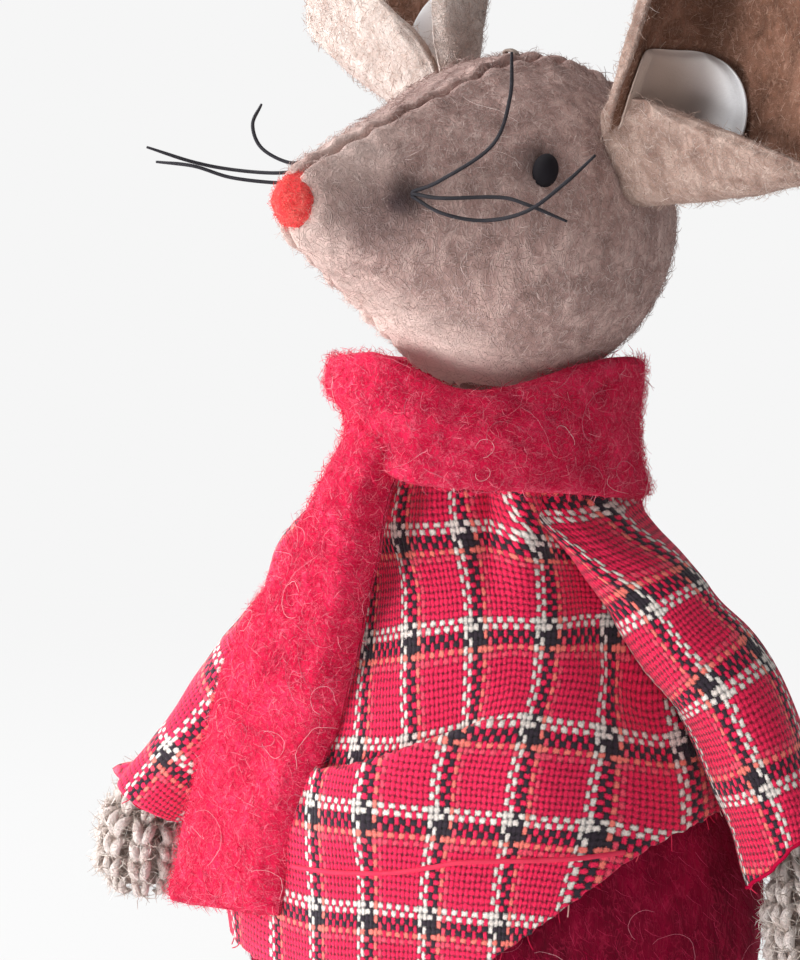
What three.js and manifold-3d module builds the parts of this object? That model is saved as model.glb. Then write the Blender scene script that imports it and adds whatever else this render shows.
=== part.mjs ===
// Mouse hanging decoration: a stuffed felt head with folded ears, a stuffed body in a
// woven shirt, felt trousers and a felt scarf, and knitted arms, legs and tail.
// Millimetres, +Z up. The body faces -Y and the mouse's left side is +X.
// The origin is the top of the thread tack that the decoration hangs from.
import * as THREE from 'three';
import { mergeVertices } from 'three/addons/utils/BufferGeometryUtils.js';
import Module from 'manifold-3d';

const wasm = await Module();
wasm.setup();

// Fit between pieces that touch, and how far a cutter runs past what it cuts
const gap = 0.3;
const overrun = 3;

// Head: a ball drawn out into a blunt snout, two felt halves over a stuffing
const headRadius = 16.5;
const snoutReach = 25.3;
const snoutRimRadius = 4;
const snoutRimRound = 0.64;
const headFelt = 1.75;
const headYaw = THREE.MathUtils.degToRad(-32.3);
const headPitch = THREE.MathUtils.degToRad(11);
const headRoll = THREE.MathUtils.degToRad(2.6);
const tackRadius = 0.36;
const tackSpan = 1.75;

// Nose, eyes and whiskers
const noseRadius = 2.95;
const noseProud = 1.05;
const eyeRadius = 1.7;
const eyeSunk = 0.24;
const eyeAzimuth = THREE.MathUtils.degToRad(61.3);
const eyeElevation = THREE.MathUtils.degToRad(26);
const whiskerRadius = 0.22;

// Ears: a felt disc folded along a chord, its short side turned up as a flap
const leftEarRadius = 16.7;
const rightEarRadius = 15.5;
const earFelt = 1.9;
const earFoldDrop = 6.6;
const earFoldRadius = 1.9;
const earFoldAngle = THREE.MathUtils.degToRad(155);
const leftFlapLength = 12.8;
const rightFlapLength = 15.2;
const earCup = 2.1;
const earCurl = 4.8;
const earLean = 1.2;
const earSetBack = 4.4;
const earSink = 0.8;
const earSeatAngle = THREE.MathUtils.degToRad(26.7);
const earTilt = THREE.MathUtils.degToRad(15.7);
const liningRadius = 6.9;
const liningThickness = 0.96;
const liningInset = 6.1;
const liningRise = 7.4;

// Body: an upright barrel, wider than deep, under a shirt and trousers
const bodyDrop = 94.4;
const bodyHalfWidth = 28;
const bodyHalfDepth = 21.2;
const bodyShiftX = -1.9;
const bodyShiftY = -0.72;
const bodyTopDrop = 21.6;
const neckRadius = 5.6;
const neckEntry = 2.55;
const shirtTopDrop = 20.8;
const shirtCloth = 0.8;
const shirtEase = 0.72;
const hemDrop = 75.2;
const hemRise = 19.6;
const tuckDrop = 48.8;
const tuckSlope = 7.2;
const tuckBulge = 1.75;
const tuckReach = 17.6;
const gatherDepth = 0.72;
const gatherCount = 9;
const gatherTopDrop = 26.4;
const gatherEndDrop = 41.6;
const trouserFelt = 1.6;
const fillEase = 0.64;
const waistDrop = 51.2;

// Scarf: one felt strip, wrapped once, with two hanging ends
const scarfFelt = 1.75;
const scarfRadius = 14.7;
const scarfFlare = 0.96;
const scarfTopDrop = 13.8;
const scarfSideDip = 2.4;
const scarfDipAzimuth = THREE.MathUtils.degToRad(-105);
const scarfDipSpread = THREE.MathUtils.degToRad(35);
const scarfBottomDrop = 27.8;
const scarfFrontLift = 3.35;
const scarfKnob = 1.3;
const scarfKnobAzimuth = THREE.MathUtils.degToRad(-62);
const scarfKnobSpread = THREE.MathUtils.degToRad(16);
const scarfEndStartDrop = 24;
const scarfWidth = 15.2;
const scarfEndCurl = 0.56;
const frontEndLength = 44.8;
const frontEndTopAzimuth = THREE.MathUtils.degToRad(-25);
const frontEndBottomAzimuth = THREE.MathUtils.degToRad(-50);
const frontEndFacing = THREE.MathUtils.degToRad(-20);
const backEndLength = 36.8;
const backEndTopAzimuth = THREE.MathUtils.degToRad(168);
const backEndBottomAzimuth = THREE.MathUtils.degToRad(160);
const backEndFacing = THREE.MathUtils.degToRad(170);

// Arms: knitted tubes in woven sleeves, a round shoulder in a socket of the shirt
const shoulderRadius = 4.3;
const shoulderOut = 14.4;
const shoulderForward = 3.7;
const sleeveRadius = 5.4;
const cuffRadius = 4.95;
const sleeveCloth = 0.8;
const armReach = 40.8;
const pawRadius = 4.4;

// Legs: knitted tubes in felt trouser legs, a round hip in a socket of the seat
const hipRadius = 5.6;
const hipOut = 9.6;
const hipForward = 6.4;
const hipDrop = 92;
const trouserLegRadius = 6.4;
const trouserLegLength = 24.8;
const legLength = 41.6;
const legRadius = 3.85;

// Tail: a knitted cord sewn to the back of the seat
const tailLength = 52.8;
const tailRootRadius = 1.9;
const tailTipRadius = 1.1;
const tailDrop = 80.8;

// Places that follow from the sizes above
const ballTop = 2 * tackRadius + gap;
const ballZ = -(ballTop + headRadius);
const shoulderDrop = scarfBottomDrop + shoulderRadius + gap;
const neckTopDrop = headRadius - neckEntry;

// Body outline from the neck to the seat, as shares of drop, half width and half depth
const bodyOutlineShares = [
  [0.2, 0.33, 0.38],
  [0.25, 0.42, 0.47],
  [0.3, 0.46, 0.52],
  [0.34, 0.54, 0.59],
  [0.38, 0.61, 0.66],
  [0.45, 0.71, 0.755],
  [0.52, 0.815, 0.845],
  [0.6, 0.94, 0.945],
  [0.68, 0.985, 0.985],
  [0.76, 1, 1],
  [0.83, 0.975, 0.975],
  [0.9, 0.855, 0.865],
  [0.95, 0.64, 0.66],
  [0.985, 0.33, 0.34],
  [1, 0.06, 0.06],
];

// Whisker routes as shares of the head's radius: forward, to the left, up
const whiskerShares = {
  whisker_left_upper: [
    [1.15, 0.5, 0.235], [1.15, 0.68, 0.245], [1.0, 0.97, 0.57], [1.09, 1.165, 0.87],
    [1.25, 1.31, 1.146],
  ],
  whisker_left_middle: [
    [1.155, 0.5, 0.18], [1.1, 0.72, 0.2], [0.91, 1.0, 0.277], [0.84, 1.17, 0.277],
    [0.7, 1.4, 0.233],
  ],
  whisker_left_lower: [
    [1.15, 0.5, 0.12], [1.09, 0.73, 0.1], [0.95, 0.95, 0.126], [0.87, 1.23, 0.243],
    [0.77, 1.4, 0.447], [0.69, 1.53, 0.646],
  ],
  whisker_right_upper: [
    [1.17, -0.49, 0.2], [1.24, -0.63, 0.136], [1.325, -0.825, 0.18], [1.32, -0.97, 0.296],
    [1.18, -1.117, 0.408],
  ],
  whisker_right_middle: [
    [1.17, -0.49, 0.13], [1.28, -0.69, 0.058], [1.39, -0.99, 0.01], [1.55, -1.19, 0.005],
    [1.74, -1.43, 0.034],
  ],
  whisker_right_lower: [
    [1.17, -0.49, 0.05], [1.28, -0.68, 0.0], [1.44, -0.93, -0.03], [1.59, -1.12, -0.01],
    [1.7, -1.36, -0.04],
  ],
};

// Arm routes from shoulder to paw, as shares of the reach: outward, down
const leftArmShares = [
  [0, 0], [0.14, 0.1], [0.315, 0.295], [0.45, 0.535], [0.51, 0.71], [0.545, 0.855], [0.56, 1],
];
const rightArmShares = [
  [0, 0], [0.06, 0.16], [0.15, 0.32], [0.315, 0.505], [0.45, 0.64], [0.54, 0.74], [0.58, 0.87],
  [0.585, 1],
];
const cuffShare = 0.76;
const pawSwellShares = [[0.1, 0.58], [0.3, 0.76], [0.6, 0.83], [0.78, 0.84], [0.84, 0.98],
  [0.93, 1], [0.98, 0.72], [1, 0.4]];

// How a scarf end turns round the body and spreads to its full width, down its length
const endTurnShares = [[0, 0], [0.2, 0.42], [0.37, 0.68], [0.6, 0.86], [1, 1]];
const endWidthShares = [[0, 0.52], [0.18, 0.62], [0.28, 0.78], [0.42, 1], [1, 0.98]];

// Leg and tail routes, as shares of their length: backward, down
const legRouteShares = [
  [0, 0], [0.01, 0.3], [0.025, 0.62], [0.03, 0.84], [-0.03, 0.93], [-0.19, 0.965],
];
const thighNeckShare = 0.72;
const thighStartShare = 0.05;
const legSwellShares = [[0.06, 0.8], [0.3, 0.95], [0.7, 0.88], [0.8, 1], [0.92, 1.1],
  [0.98, 0.82], [1, 0.45]];
const tailRouteShares = [
  [0, 0], [0.05, 0.12], [0.07, 0.35], [0.03, 0.6], [0.06, 0.82], [0.15, 1],
];

// Finishes
const finish = (color, roughness, metalness = 0) => ({ color, roughness, metalness });
const greyFelt = finish(0xa08c82, 0.95);
const earFeltFinish = finish(0xb79a88, 0.95);
const whiteFelt = finish(0xe9e2dc, 0.9);
const wadding = finish(0xefece4, 1);
const noseFelt = finish(0xe33138, 0.9);
const bead = finish(0x141418, 0.25);
const darkThread = finish(0x35353b, 0.7);
const greyThread = finish(0x9c8b82, 0.8);
const redFelt = finish(0xcf2547, 0.95);
const wovenCheck = finish(0xb82c42, 0.9);
const darkRedFelt = finish(0x8c1226, 0.95);
const paleKnit = finish(0xcdbfae, 0.95);

const model = new THREE.Group();
const headGroup = new THREE.Group();
headGroup.position.set(0, 0, ballZ);
headGroup.rotation.set(-headPitch, headRoll, headYaw, 'ZXY');
const bodyGroup = new THREE.Group();
bodyGroup.position.set(bodyShiftX, bodyShiftY, ballZ);
model.add(headGroup, bodyGroup);

// A closed geometry becomes a solid, with its faces turned outward
function solid(geometry) {
  const bare = geometry.clone();
  bare.deleteAttribute('normal');
  bare.deleteAttribute('uv');
  const merged = mergeVertices(bare, gap / 1000);
  const spots = merged.attributes.position.array;
  const index = merged.index.array;
  const faces = [];
  let volume = 0;
  const [a, b, c] = [new THREE.Vector3(), new THREE.Vector3(), new THREE.Vector3()];
  for (let i = 0; i < index.length; i += 3) {
    const [p, q, r] = [index[i], index[i + 1], index[i + 2]];
    if (p !== q && q !== r && r !== p) {
      faces.push([p, q, r]);
      a.fromArray(spots, 3 * p);
      b.fromArray(spots, 3 * q);
      c.fromArray(spots, 3 * r);
      volume += a.dot(b.cross(c));
    }
  }
  const outward = volume > 0 ? faces : faces.map(([p, q, r]) => [p, r, q]);
  return new wasm.Manifold(new wasm.Mesh({
    numProp: 3,
    vertProperties: Float32Array.from(spots),
    triVerts: Uint32Array.from(outward.flat()),
  }));
}

// A solid becomes a named mesh in a group
function addPiece(group, name, shape, look) {
  const { vertProperties, triVerts } = shape.getMesh();
  const geometry = new THREE.BufferGeometry();
  geometry.setAttribute('position', new THREE.BufferAttribute(vertProperties, 3));
  geometry.setIndex(new THREE.BufferAttribute(triVerts, 1));
  const mesh = new THREE.Mesh(geometry, new THREE.MeshStandardMaterial(look));
  mesh.name = name;
  group.add(mesh);
}

// Rings of equal count joined into one closed skin, its two ends filled
function loft(rings) {
  const count = rings[0].length;
  const points = rings.flat();
  const faces = [];
  for (let i = 0; i < rings.length - 1; i += 1) {
    const low = i * count;
    const high = low + count;
    for (let j = 0; j < count; j += 1) {
      const k = (j + 1) % count;
      faces.push(low + j, low + k, high + k, low + j, high + k, high + j);
    }
  }
  const ends = [[0, true], [(rings.length - 1) * count, false]];
  ends.forEach(([first, reversed]) => {
    const middle = new THREE.Vector3();
    for (let j = 0; j < count; j += 1) {
      middle.addScaledVector(points[first + j], 1 / count);
    }
    const hub = points.push(middle) - 1;
    for (let j = 0; j < count; j += 1) {
      const k = first + ((j + 1) % count);
      faces.push(hub, reversed ? k : first + j, reversed ? first + j : k);
    }
  });
  return skin(points, faces);
}

// Rings joined end to end into one closed band
function band(rings) {
  const count = rings[0].length;
  const faces = [];
  for (let i = 0; i < rings.length; i += 1) {
    const low = i * count;
    const high = ((i + 1) % rings.length) * count;
    for (let j = 0; j < count; j += 1) {
      const k = (j + 1) % count;
      faces.push(low + j, low + k, high + k, low + j, high + k, high + j);
    }
  }
  return skin(rings.flat(), faces);
}

function skin(points, faces) {
  const geometry = new THREE.BufferGeometry();
  const spots = points.flatMap((point) => point.toArray());
  geometry.setAttribute('position', new THREE.Float32BufferAttribute(spots, 3));
  geometry.setIndex(faces);
  return geometry;
}

const ball = (radius, across = 24, down = 16) => new THREE.SphereGeometry(radius, across, down);
const mix = (from, to, share) => from + (to - from) * share;
const ramp = (value, start, end) => THREE.MathUtils.smoothstep(value, start, end);

// Piecewise straight reading of a table of shares: first column in, others out
function readShares(table, share) {
  const last = table.length - 1;
  let i = 0;
  while (i < last - 1 && share > table[i + 1][0]) {
    i += 1;
  }
  const [low, high] = [table[i], table[i + 1]];
  const part = THREE.MathUtils.clamp((share - low[0]) / (high[0] - low[0]), 0, 1);
  return low.slice(1).map((value, column) => mix(value, high[column + 1], part));
}

// Head outline, inset by a wall, turned about the snout's line (the local -Y axis)
function headSolid(inset, around) {
  const radius = headRadius - inset;
  const reach = snoutReach - inset;
  const rimAngle = Math.atan2(snoutRimRadius, snoutReach);
  const touchAngle = rimAngle + Math.acos(headRadius / Math.hypot(snoutReach, snoutRimRadius));
  const sideAt = (forward) => (radius - forward * Math.cos(touchAngle)) / Math.sin(touchAngle);
  const outline = [new THREE.Vector2(0, radius)];
  const steps = 10;
  for (let i = 1; i <= steps; i += 1) {
    const angle = mix(Math.PI, touchAngle, i / steps);
    outline.push(new THREE.Vector2(radius * Math.sin(angle), -radius * Math.cos(angle)));
  }
  outline.push(new THREE.Vector2(sideAt(reach - snoutRimRound), snoutRimRound - reach));
  outline.push(new THREE.Vector2(sideAt(reach) - snoutRimRound, -reach));
  outline.push(new THREE.Vector2(0, -reach));
  return solid(new THREE.LatheGeometry(outline, around));
}

function eyeCentre(side) {
  const distance = headRadius - eyeSunk;
  const level = distance * Math.cos(eyeElevation);
  return new THREE.Vector3(
    side * level * Math.sin(eyeAzimuth),
    -level * Math.cos(eyeAzimuth),
    distance * Math.sin(eyeElevation),
  );
}

const noseCentre = new THREE.Vector3(0, -(snoutReach + noseProud), 0);

// The upright hole that the neck enters, seen from the turned head
function neckHole() {
  const height = headRadius + overrun;
  const hole = new THREE.CylinderGeometry(neckRadius + gap, neckRadius + gap, height, 24);
  hole.rotateX(Math.PI / 2);
  hole.translate(0, 0, -neckTopDrop + gap - height / 2);
  const turn = new THREE.Matrix4().makeRotationFromEuler(headGroup.rotation);
  return solid(hole.applyMatrix4(turn.invert()));
}

function addHead() {
  const pits = [
    solid(ball(noseRadius + gap, 16, 12).translate(...noseCentre.toArray())),
    ...[1, -1].map((side) => (
      solid(ball(eyeRadius + gap, 12, 8).translate(...eyeCentre(side).toArray()))
    )),
    neckHole(),
  ];
  const cutAll = (shape) => pits.reduce((left, pit) => left.subtract(pit), shape);
  const shell = cutAll(headSolid(0, 32).subtract(headSolid(headFelt, 24)));
  const span = 2 * (snoutReach + headRadius);
  [['head_felt_left', 1], ['head_felt_right', -1]].forEach(([name, side]) => {
    const half = new THREE.BoxGeometry(span, 2 * span, 2 * span);
    half.translate(side * (span + gap) / 2, 0, 0);
    addPiece(headGroup, name, shell.intersect(solid(half)), greyFelt);
  });
  addPiece(headGroup, 'head_stuffing', cutAll(headSolid(headFelt + gap, 20)), wadding);
}

function addNoseAndEyes() {
  const nose = ball(noseRadius, 14, 10);
  addPiece(headGroup, 'nose', solid(nose.translate(...noseCentre.toArray())), noseFelt);
  [['eye_left', 1], ['eye_right', -1]].forEach(([name, side]) => {
    const eye = ball(eyeRadius, 12, 8).translate(...eyeCentre(side).toArray());
    addPiece(headGroup, name, solid(eye), bead);
  });
}

function addWhiskers() {
  const corners = [];
  for (let i = 0; i < 6; i += 1) {
    const angle = (i * Math.PI) / 3;
    corners.push(new THREE.Vector2(Math.cos(angle), Math.sin(angle)).multiplyScalar(whiskerRadius));
  }
  Object.entries(whiskerShares).forEach(([name, shares]) => {
    const route = shares.map(([forward, left, up]) => (
      new THREE.Vector3(left, -forward, up).multiplyScalar(headRadius)
    ));
    const strand = new THREE.ExtrudeGeometry(new THREE.Shape(corners), {
      extrudePath: new THREE.CatmullRomCurve3(route),
      steps: 10,
      bevelEnabled: false,
    });
    addPiece(headGroup, name, solid(strand), darkThread);
  });
}

const ears = {
  left: { side: 1, radius: leftEarRadius, flap: leftFlapLength },
  right: { side: -1, radius: rightEarRadius, flap: rightFlapLength },
};

const foldHalfOf = (ear) => Math.sqrt(ear.radius ** 2 - earFoldDrop ** 2);

// Point of an ear: along the fold, across it (negative on the flap), off the middle
function earPoint(ear, along, across, off) {
  const seat = Math.sqrt(headRadius ** 2 - earSetBack ** 2) - earSink;
  const foldHalf = foldHalfOf(ear);
  const outer = Math.max(0, along / ear.radius);
  let up = across;
  const inner = Math.max(0, -along / ear.radius);
  let forward = earCup * outer ** 2 - earLean * Math.max(0, across / ear.radius)
    + earCurl * inner ** 2 * ramp(across, 0, earFoldDrop);
  let turned = 0;
  if (across < 0) {
    const pinch = Math.min(1, (along / foldHalf) ** 2);
    const foldRadius = mix(earFoldRadius, earFelt / 2 + gap, pinch);
    const bent = foldRadius * earFoldAngle;
    turned = Math.min(-across, bent) / foldRadius;
    const straight = Math.max(-across - bent, 0);
    up = -foldRadius * Math.sin(turned) - straight * Math.cos(turned);
    forward += foldRadius * (1 - Math.cos(turned)) + straight * Math.sin(turned);
  }
  up += off * Math.sin(turned);
  forward += off * Math.cos(turned);
  const reach = foldHalf + along;
  const out = seat * Math.cos(earSeatAngle) + reach * Math.cos(earTilt) - up * Math.sin(earTilt);
  const high = seat * Math.sin(earSeatAngle) + reach * Math.sin(earTilt) + up * Math.cos(earTilt);
  return new THREE.Vector3(ear.side * out, earSetBack - forward, high);
}

function earHalfWidth(ear, across) {
  if (across < 0) {
    return foldHalfOf(ear) * Math.sqrt(1 - (across / ear.flap) ** 2);
  }
  return Math.sqrt(ear.radius ** 2 - (across - earFoldDrop) ** 2);
}

const earRowShares = [-0.985, -0.85, -0.62, -0.41, -0.27, -0.13, 0, 0.17, 0.36, 0.55, 0.73, 0.88,
  0.97, 0.996];
const earColumnShares = [-1, -0.72, -0.36, 0, 0.36, 0.72, 1];

function earSheet(ear) {
  const rings = earRowShares.map((share) => {
    const across = share * (share < 0 ? ear.flap : ear.radius + earFoldDrop);
    const half = earHalfWidth(ear, across);
    const row = (off) => earColumnShares.map((column) => earPoint(ear, column * half, across, off));
    return [...row(earFelt / 2), ...row(-earFelt / 2).reverse()];
  });
  return solid(loft(rings));
}

function liningSheet(ear) {
  const low = earFelt / 2 + 2 * gap;
  const high = low + liningThickness;
  const levels = [[0.05, low], [0.6, low], [1, low], [0.94, high], [0.5, high], [0.05, high]];
  const count = 18;
  const rings = levels.map(([share, off]) => Array.from({ length: count }, (_, i) => {
    const angle = (2 * Math.PI * i) / count;
    const along = share * liningRadius * Math.cos(angle) - liningInset;
    return earPoint(ear, along, share * liningRadius * Math.sin(angle) + liningRise, off);
  }));
  return solid(loft(rings));
}

function addEars() {
  const room = headSolid(-gap, 32);
  Object.entries(ears).forEach(([name, ear]) => {
    addPiece(headGroup, `ear_${name}`, earSheet(ear).subtract(room), earFeltFinish);
    addPiece(headGroup, `ear_lining_${name}`, liningSheet(ear).subtract(room), whiteFelt);
  });
}

// The bar of thread over the top seam that the hanging loop would go through
function addTack() {
  const tack = new THREE.CapsuleGeometry(tackRadius, tackSpan, 3, 8);
  tack.rotateZ(Math.PI / 2);
  tack.rotateZ(headYaw);
  tack.translate(0, 0, -tackRadius);
  addPiece(model, 'hanger_tack', solid(tack), greyThread);
}

// Half width and half depth of the bare body at a drop below the head's middle
function bodySize(drop) {
  const [width, depth] = readShares(bodyOutlineShares, drop / bodyDrop);
  return [width * bodyHalfWidth, depth * bodyHalfDepth];
}

function bodyRadius(azimuth, drop, grown) {
  const [width, depth] = bodySize(drop);
  return 1 / Math.hypot(Math.sin(azimuth) / (width + grown), Math.cos(azimuth) / (depth + grown));
}

function spot(azimuth, radius, drop) {
  return new THREE.Vector3(radius * Math.sin(azimuth), -radius * Math.cos(azimuth), -drop);
}

// One ring round the body: its drop and radius as functions of the azimuth
function bodyRing(count, dropAt, radiusAt) {
  return Array.from({ length: count }, (_, i) => {
    const azimuth = (2 * Math.PI * i) / count;
    const drop = dropAt(azimuth);
    return spot(azimuth, radiusAt(azimuth, drop), drop);
  });
}

// The shirt's gathers under the scarf and its tuck across the front
function shirtFold(azimuth, drop) {
  const line = tuckDrop - tuckSlope * Math.sin(azimuth);
  const front = ((1 + Math.cos(azimuth)) / 2) ** 1.5;
  const lip = ramp(drop, line - gap, line + tuckBulge) * (1 - ramp(drop, line, line + tuckReach));
  const fade = 1 - ramp(drop, gatherTopDrop, gatherEndDrop);
  const gather = gatherDepth * (1 + Math.cos(gatherCount * azimuth)) / 2;
  return tuckBulge * front * lip + gather * fade;
}

const hemAt = (azimuth) => hemDrop - hemRise * Math.max(0, Math.sin(azimuth)) ** 1.4;
const shirtRowShares = [0, 0.09, 0.2, 0.31, 0.42, 0.49, 0.54, 0.6, 0.7, 0.82, 1];

// The shirt's outside, grown or shrunk, its two ends moved on to make a cutter
function shirtSkin(grown, past) {
  const ringAt = (share, moved) => bodyRing(
    36,
    (azimuth) => mix(shirtTopDrop, hemAt(azimuth), share) + moved,
    (azimuth, drop) => bodyRadius(azimuth, drop, grown) + shirtFold(azimuth, drop),
  );
  const rings = shirtRowShares.map((share) => ringAt(share, 0));
  if (past > 0) {
    rings.unshift(ringAt(0, -past));
    rings.push(ringAt(1, past));
  }
  return solid(loft(rings));
}

function plainSkin(grown, topDrop, rows, count) {
  const bottom = bodyDrop + grown;
  const rings = Array.from({ length: rows }, (_, i) => {
    const share = Math.sin((Math.PI / 2) * (i / (rows - 1)));
    return bodyRing(
      count,
      () => mix(topDrop, bottom, share),
      (azimuth, drop) => bodyRadius(azimuth, drop, grown),
    );
  });
  return solid(loft(rings));
}

const shoulderAt = (side) => new THREE.Vector3(side * shoulderOut, -shoulderForward, -shoulderDrop);
const hipAt = (side) => new THREE.Vector3(side * hipOut, -hipForward, -hipDrop);

function sockets() {
  return [1, -1].flatMap((side) => [
    solid(ball(shoulderRadius + gap, 14, 8).translate(...shoulderAt(side).toArray())),
    solid(ball(hipRadius + gap, 14, 8).translate(...hipAt(side).toArray())),
  ]);
}

function addBody() {
  const holes = sockets();
  const cutAll = (shape) => holes.reduce((left, hole) => left.subtract(hole), shape);
  const underShirt = -(shirtCloth + shirtEase);
  const underTrousers = underShirt - trouserFelt - fillEase;

  const shirt = shirtSkin(0, 0).subtract(shirtSkin(-shirtCloth, overrun));
  addPiece(bodyGroup, 'shirt_body', cutAll(shirt), wovenCheck);
  const room = shirtSkin(gap, gap).subtract(shirtSkin(-shirtCloth - gap, overrun));

  const seatOuter = plainSkin(underShirt, waistDrop, 9, 24);
  const seatInner = plainSkin(underShirt - trouserFelt, waistDrop - gap, 8, 20);
  const seat = seatOuter.subtract(seatInner).subtract(room);
  addPiece(bodyGroup, 'trousers_seat', cutAll(seat), darkRedFelt);

  const slab = new THREE.BoxGeometry(4 * bodyHalfWidth, 4 * bodyHalfWidth, bodyDrop);
  slab.translate(0, 0, bodyDrop / 2 - waistDrop + gap);
  const upper = plainSkin(underShirt, bodyTopDrop, 10, 20).intersect(solid(slab));
  const lower = plainSkin(underTrousers, bodyTopDrop, 10, 20);
  const stuffing = upper.add(lower).subtract(room);
  addPiece(bodyGroup, 'body_stuffing', cutAll(stuffing), wadding);

  const height = bodyTopDrop - gap - neckTopDrop;
  const neck = new THREE.CylinderGeometry(neckRadius, neckRadius, height, 24);
  neck.rotateX(Math.PI / 2);
  neck.translate(-bodyShiftX, -bodyShiftY, -neckTopDrop - height / 2);
  addPiece(bodyGroup, 'neck', solid(neck), greyFelt);
}

// A smooth swell round one azimuth, 1 at its middle
function swellAt(azimuth, middle, spread) {
  const turn = 2 * Math.PI;
  const away = THREE.MathUtils.euclideanModulo(azimuth - middle + Math.PI, turn) - Math.PI;
  return Math.exp(-((away / spread) ** 2));
}

const scarfTopAt = (azimuth) => (
  scarfTopDrop + scarfSideDip * swellAt(azimuth, scarfDipAzimuth, scarfDipSpread)
);
const scarfBottomAt = (azimuth) => (
  scarfBottomDrop - scarfFrontLift * Math.max(0, Math.cos(azimuth)) ** 2
);

function addScarfWrap() {
  const rings = Array.from({ length: 36 }, (_, i) => {
    const azimuth = (2 * Math.PI * i) / 36;
    const knob = scarfKnob * swellAt(azimuth, scarfKnobAzimuth, scarfKnobSpread);
    const top = scarfTopAt(azimuth);
    const bottom = scarfBottomAt(azimuth);
    const middle = (top + bottom) / 2;
    const outer = scarfRadius + scarfFelt;
    return [
      spot(azimuth, outer + knob, top),
      spot(azimuth, outer + knob / 2 - scarfFlare, middle),
      spot(azimuth, outer, bottom),
      spot(azimuth, scarfRadius, bottom),
      spot(azimuth, scarfRadius - scarfFlare, middle),
      spot(azimuth, scarfRadius, top),
    ];
  });
  addPiece(bodyGroup, 'scarf_wrap', solid(band(rings)), redFelt);
}

const insideShirt = (point, clearance) => {
  const azimuth = Math.atan2(point.x, -point.y);
  const drop = -point.z;
  const folds = mix(gatherDepth, tuckBulge, ramp(drop, gatherEndDrop, tuckDrop));
  return Math.hypot(point.x, point.y) < bodyRadius(azimuth, drop, folds + clearance);
};

// A hanging end lies outside the wrap's lower edge and then against the shirt
function scarfEnd(length, topAzimuth, bottomAzimuth, facing) {
  const rowShares = [0, 0.07, 0.16, 0.28, 0.4, 0.55, 0.7, 0.85, 1];
  const outward = new THREE.Vector3(Math.sin(facing), -Math.cos(facing), 0);
  const sideways = new THREE.Vector3(Math.cos(facing), Math.sin(facing), 0);
  const rings = rowShares.map((share) => {
    const drop = scarfEndStartDrop + length * share;
    const azimuth = mix(topAzimuth, bottomAzimuth, readShares(endTurnShares, share)[0]);
    const half = scarfWidth * readShares(endWidthShares, share)[0] / 2;
    let radius = scarfRadius + scarfFelt + gap + scarfFelt / 2 + scarfEndCurl;
    const at = (across, off) => spot(azimuth, radius, drop)
      .addScaledVector(sideways, across * half)
      .addScaledVector(outward, off * (scarfFelt / 2) - scarfEndCurl * across ** 2);
    while ([-1, -0.5, 0, 0.5, 1].some((across) => insideShirt(at(across, -1), gap))) {
      radius += gap;
    }
    return [at(-1, 1), at(0, 1), at(1, 1), at(1, -1), at(0, -1), at(-1, -1)];
  });
  return solid(loft(rings));
}

function addScarf() {
  addScarfWrap();
  const front = scarfEnd(
    frontEndLength,
    frontEndTopAzimuth,
    frontEndBottomAzimuth,
    frontEndFacing,
  );
  addPiece(bodyGroup, 'scarf_end_front', front, redFelt);
  const back = scarfEnd(backEndLength, backEndTopAzimuth, backEndBottomAzimuth, backEndFacing);
  addPiece(bodyGroup, 'scarf_end_back', back, redFelt);
}

// Rings along part of a route that lies in one plane, square to the side given
function limb(route, side, start, end, rows, count, radiusAt) {
  const rings = Array.from({ length: rows }, (_, i) => {
    const share = mix(start, end, i / (rows - 1));
    const kept = THREE.MathUtils.clamp(share, 0, 1);
    const centre = route.getPointAt(kept);
    const along = route.getTangentAt(kept);
    centre.addScaledVector(along, (share - kept) * route.getLength());
    const across = new THREE.Vector3().crossVectors(along, side).normalize();
    const radius = radiusAt(share);
    return Array.from({ length: count }, (_unused, j) => {
      const angle = (2 * Math.PI * j) / count;
      return centre.clone()
        .addScaledVector(side, radius * Math.cos(angle))
        .addScaledVector(across, radius * Math.sin(angle));
    });
  });
  return solid(loft(rings));
}

function addArm(name, side, shares) {
  const shoulder = shoulderAt(side);
  const route = new THREE.CatmullRomCurve3(shares.map(([out, down]) => (
    new THREE.Vector3(side * out, 0, -down).multiplyScalar(armReach).add(shoulder)
  )));
  const depthwise = new THREE.Vector3(0, 1, 0);
  const sleeveAt = (share) => {
    const swell = mix(shoulderRadius, sleeveRadius, ramp(share, 0, cuffShare / 2));
    return mix(swell, cuffRadius, ramp(share, cuffShare / 2, cuffShare));
  };
  const body = shirtSkin(gap, 0).add(plainSkin(gap, bodyTopDrop, 11, 36));
  const whole = limb(route, depthwise, 0, cuffShare, 8, 14, sleeveAt)
    .subtract(body)
    .add(solid(ball(shoulderRadius, 14, 8).translate(...shoulder.toArray())));
  const start = shoulderRadius / route.getLength();
  const hollow = limb(route, depthwise, start, cuffShare + start / 2, 7, 12, (share) => (
    sleeveAt(share) - sleeveCloth
  ));
  addPiece(bodyGroup, `sleeve_${name}`, whole.subtract(hollow), wovenCheck);

  const knit = limb(route, depthwise, start * 1.4, 1, 13, 12, (share) => (
    pawRadius * readShares(pawSwellShares, share)[0]
  ));
  addPiece(bodyGroup, `arm_knit_${name}`, knit.subtract(body), paleKnit);
}

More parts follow.
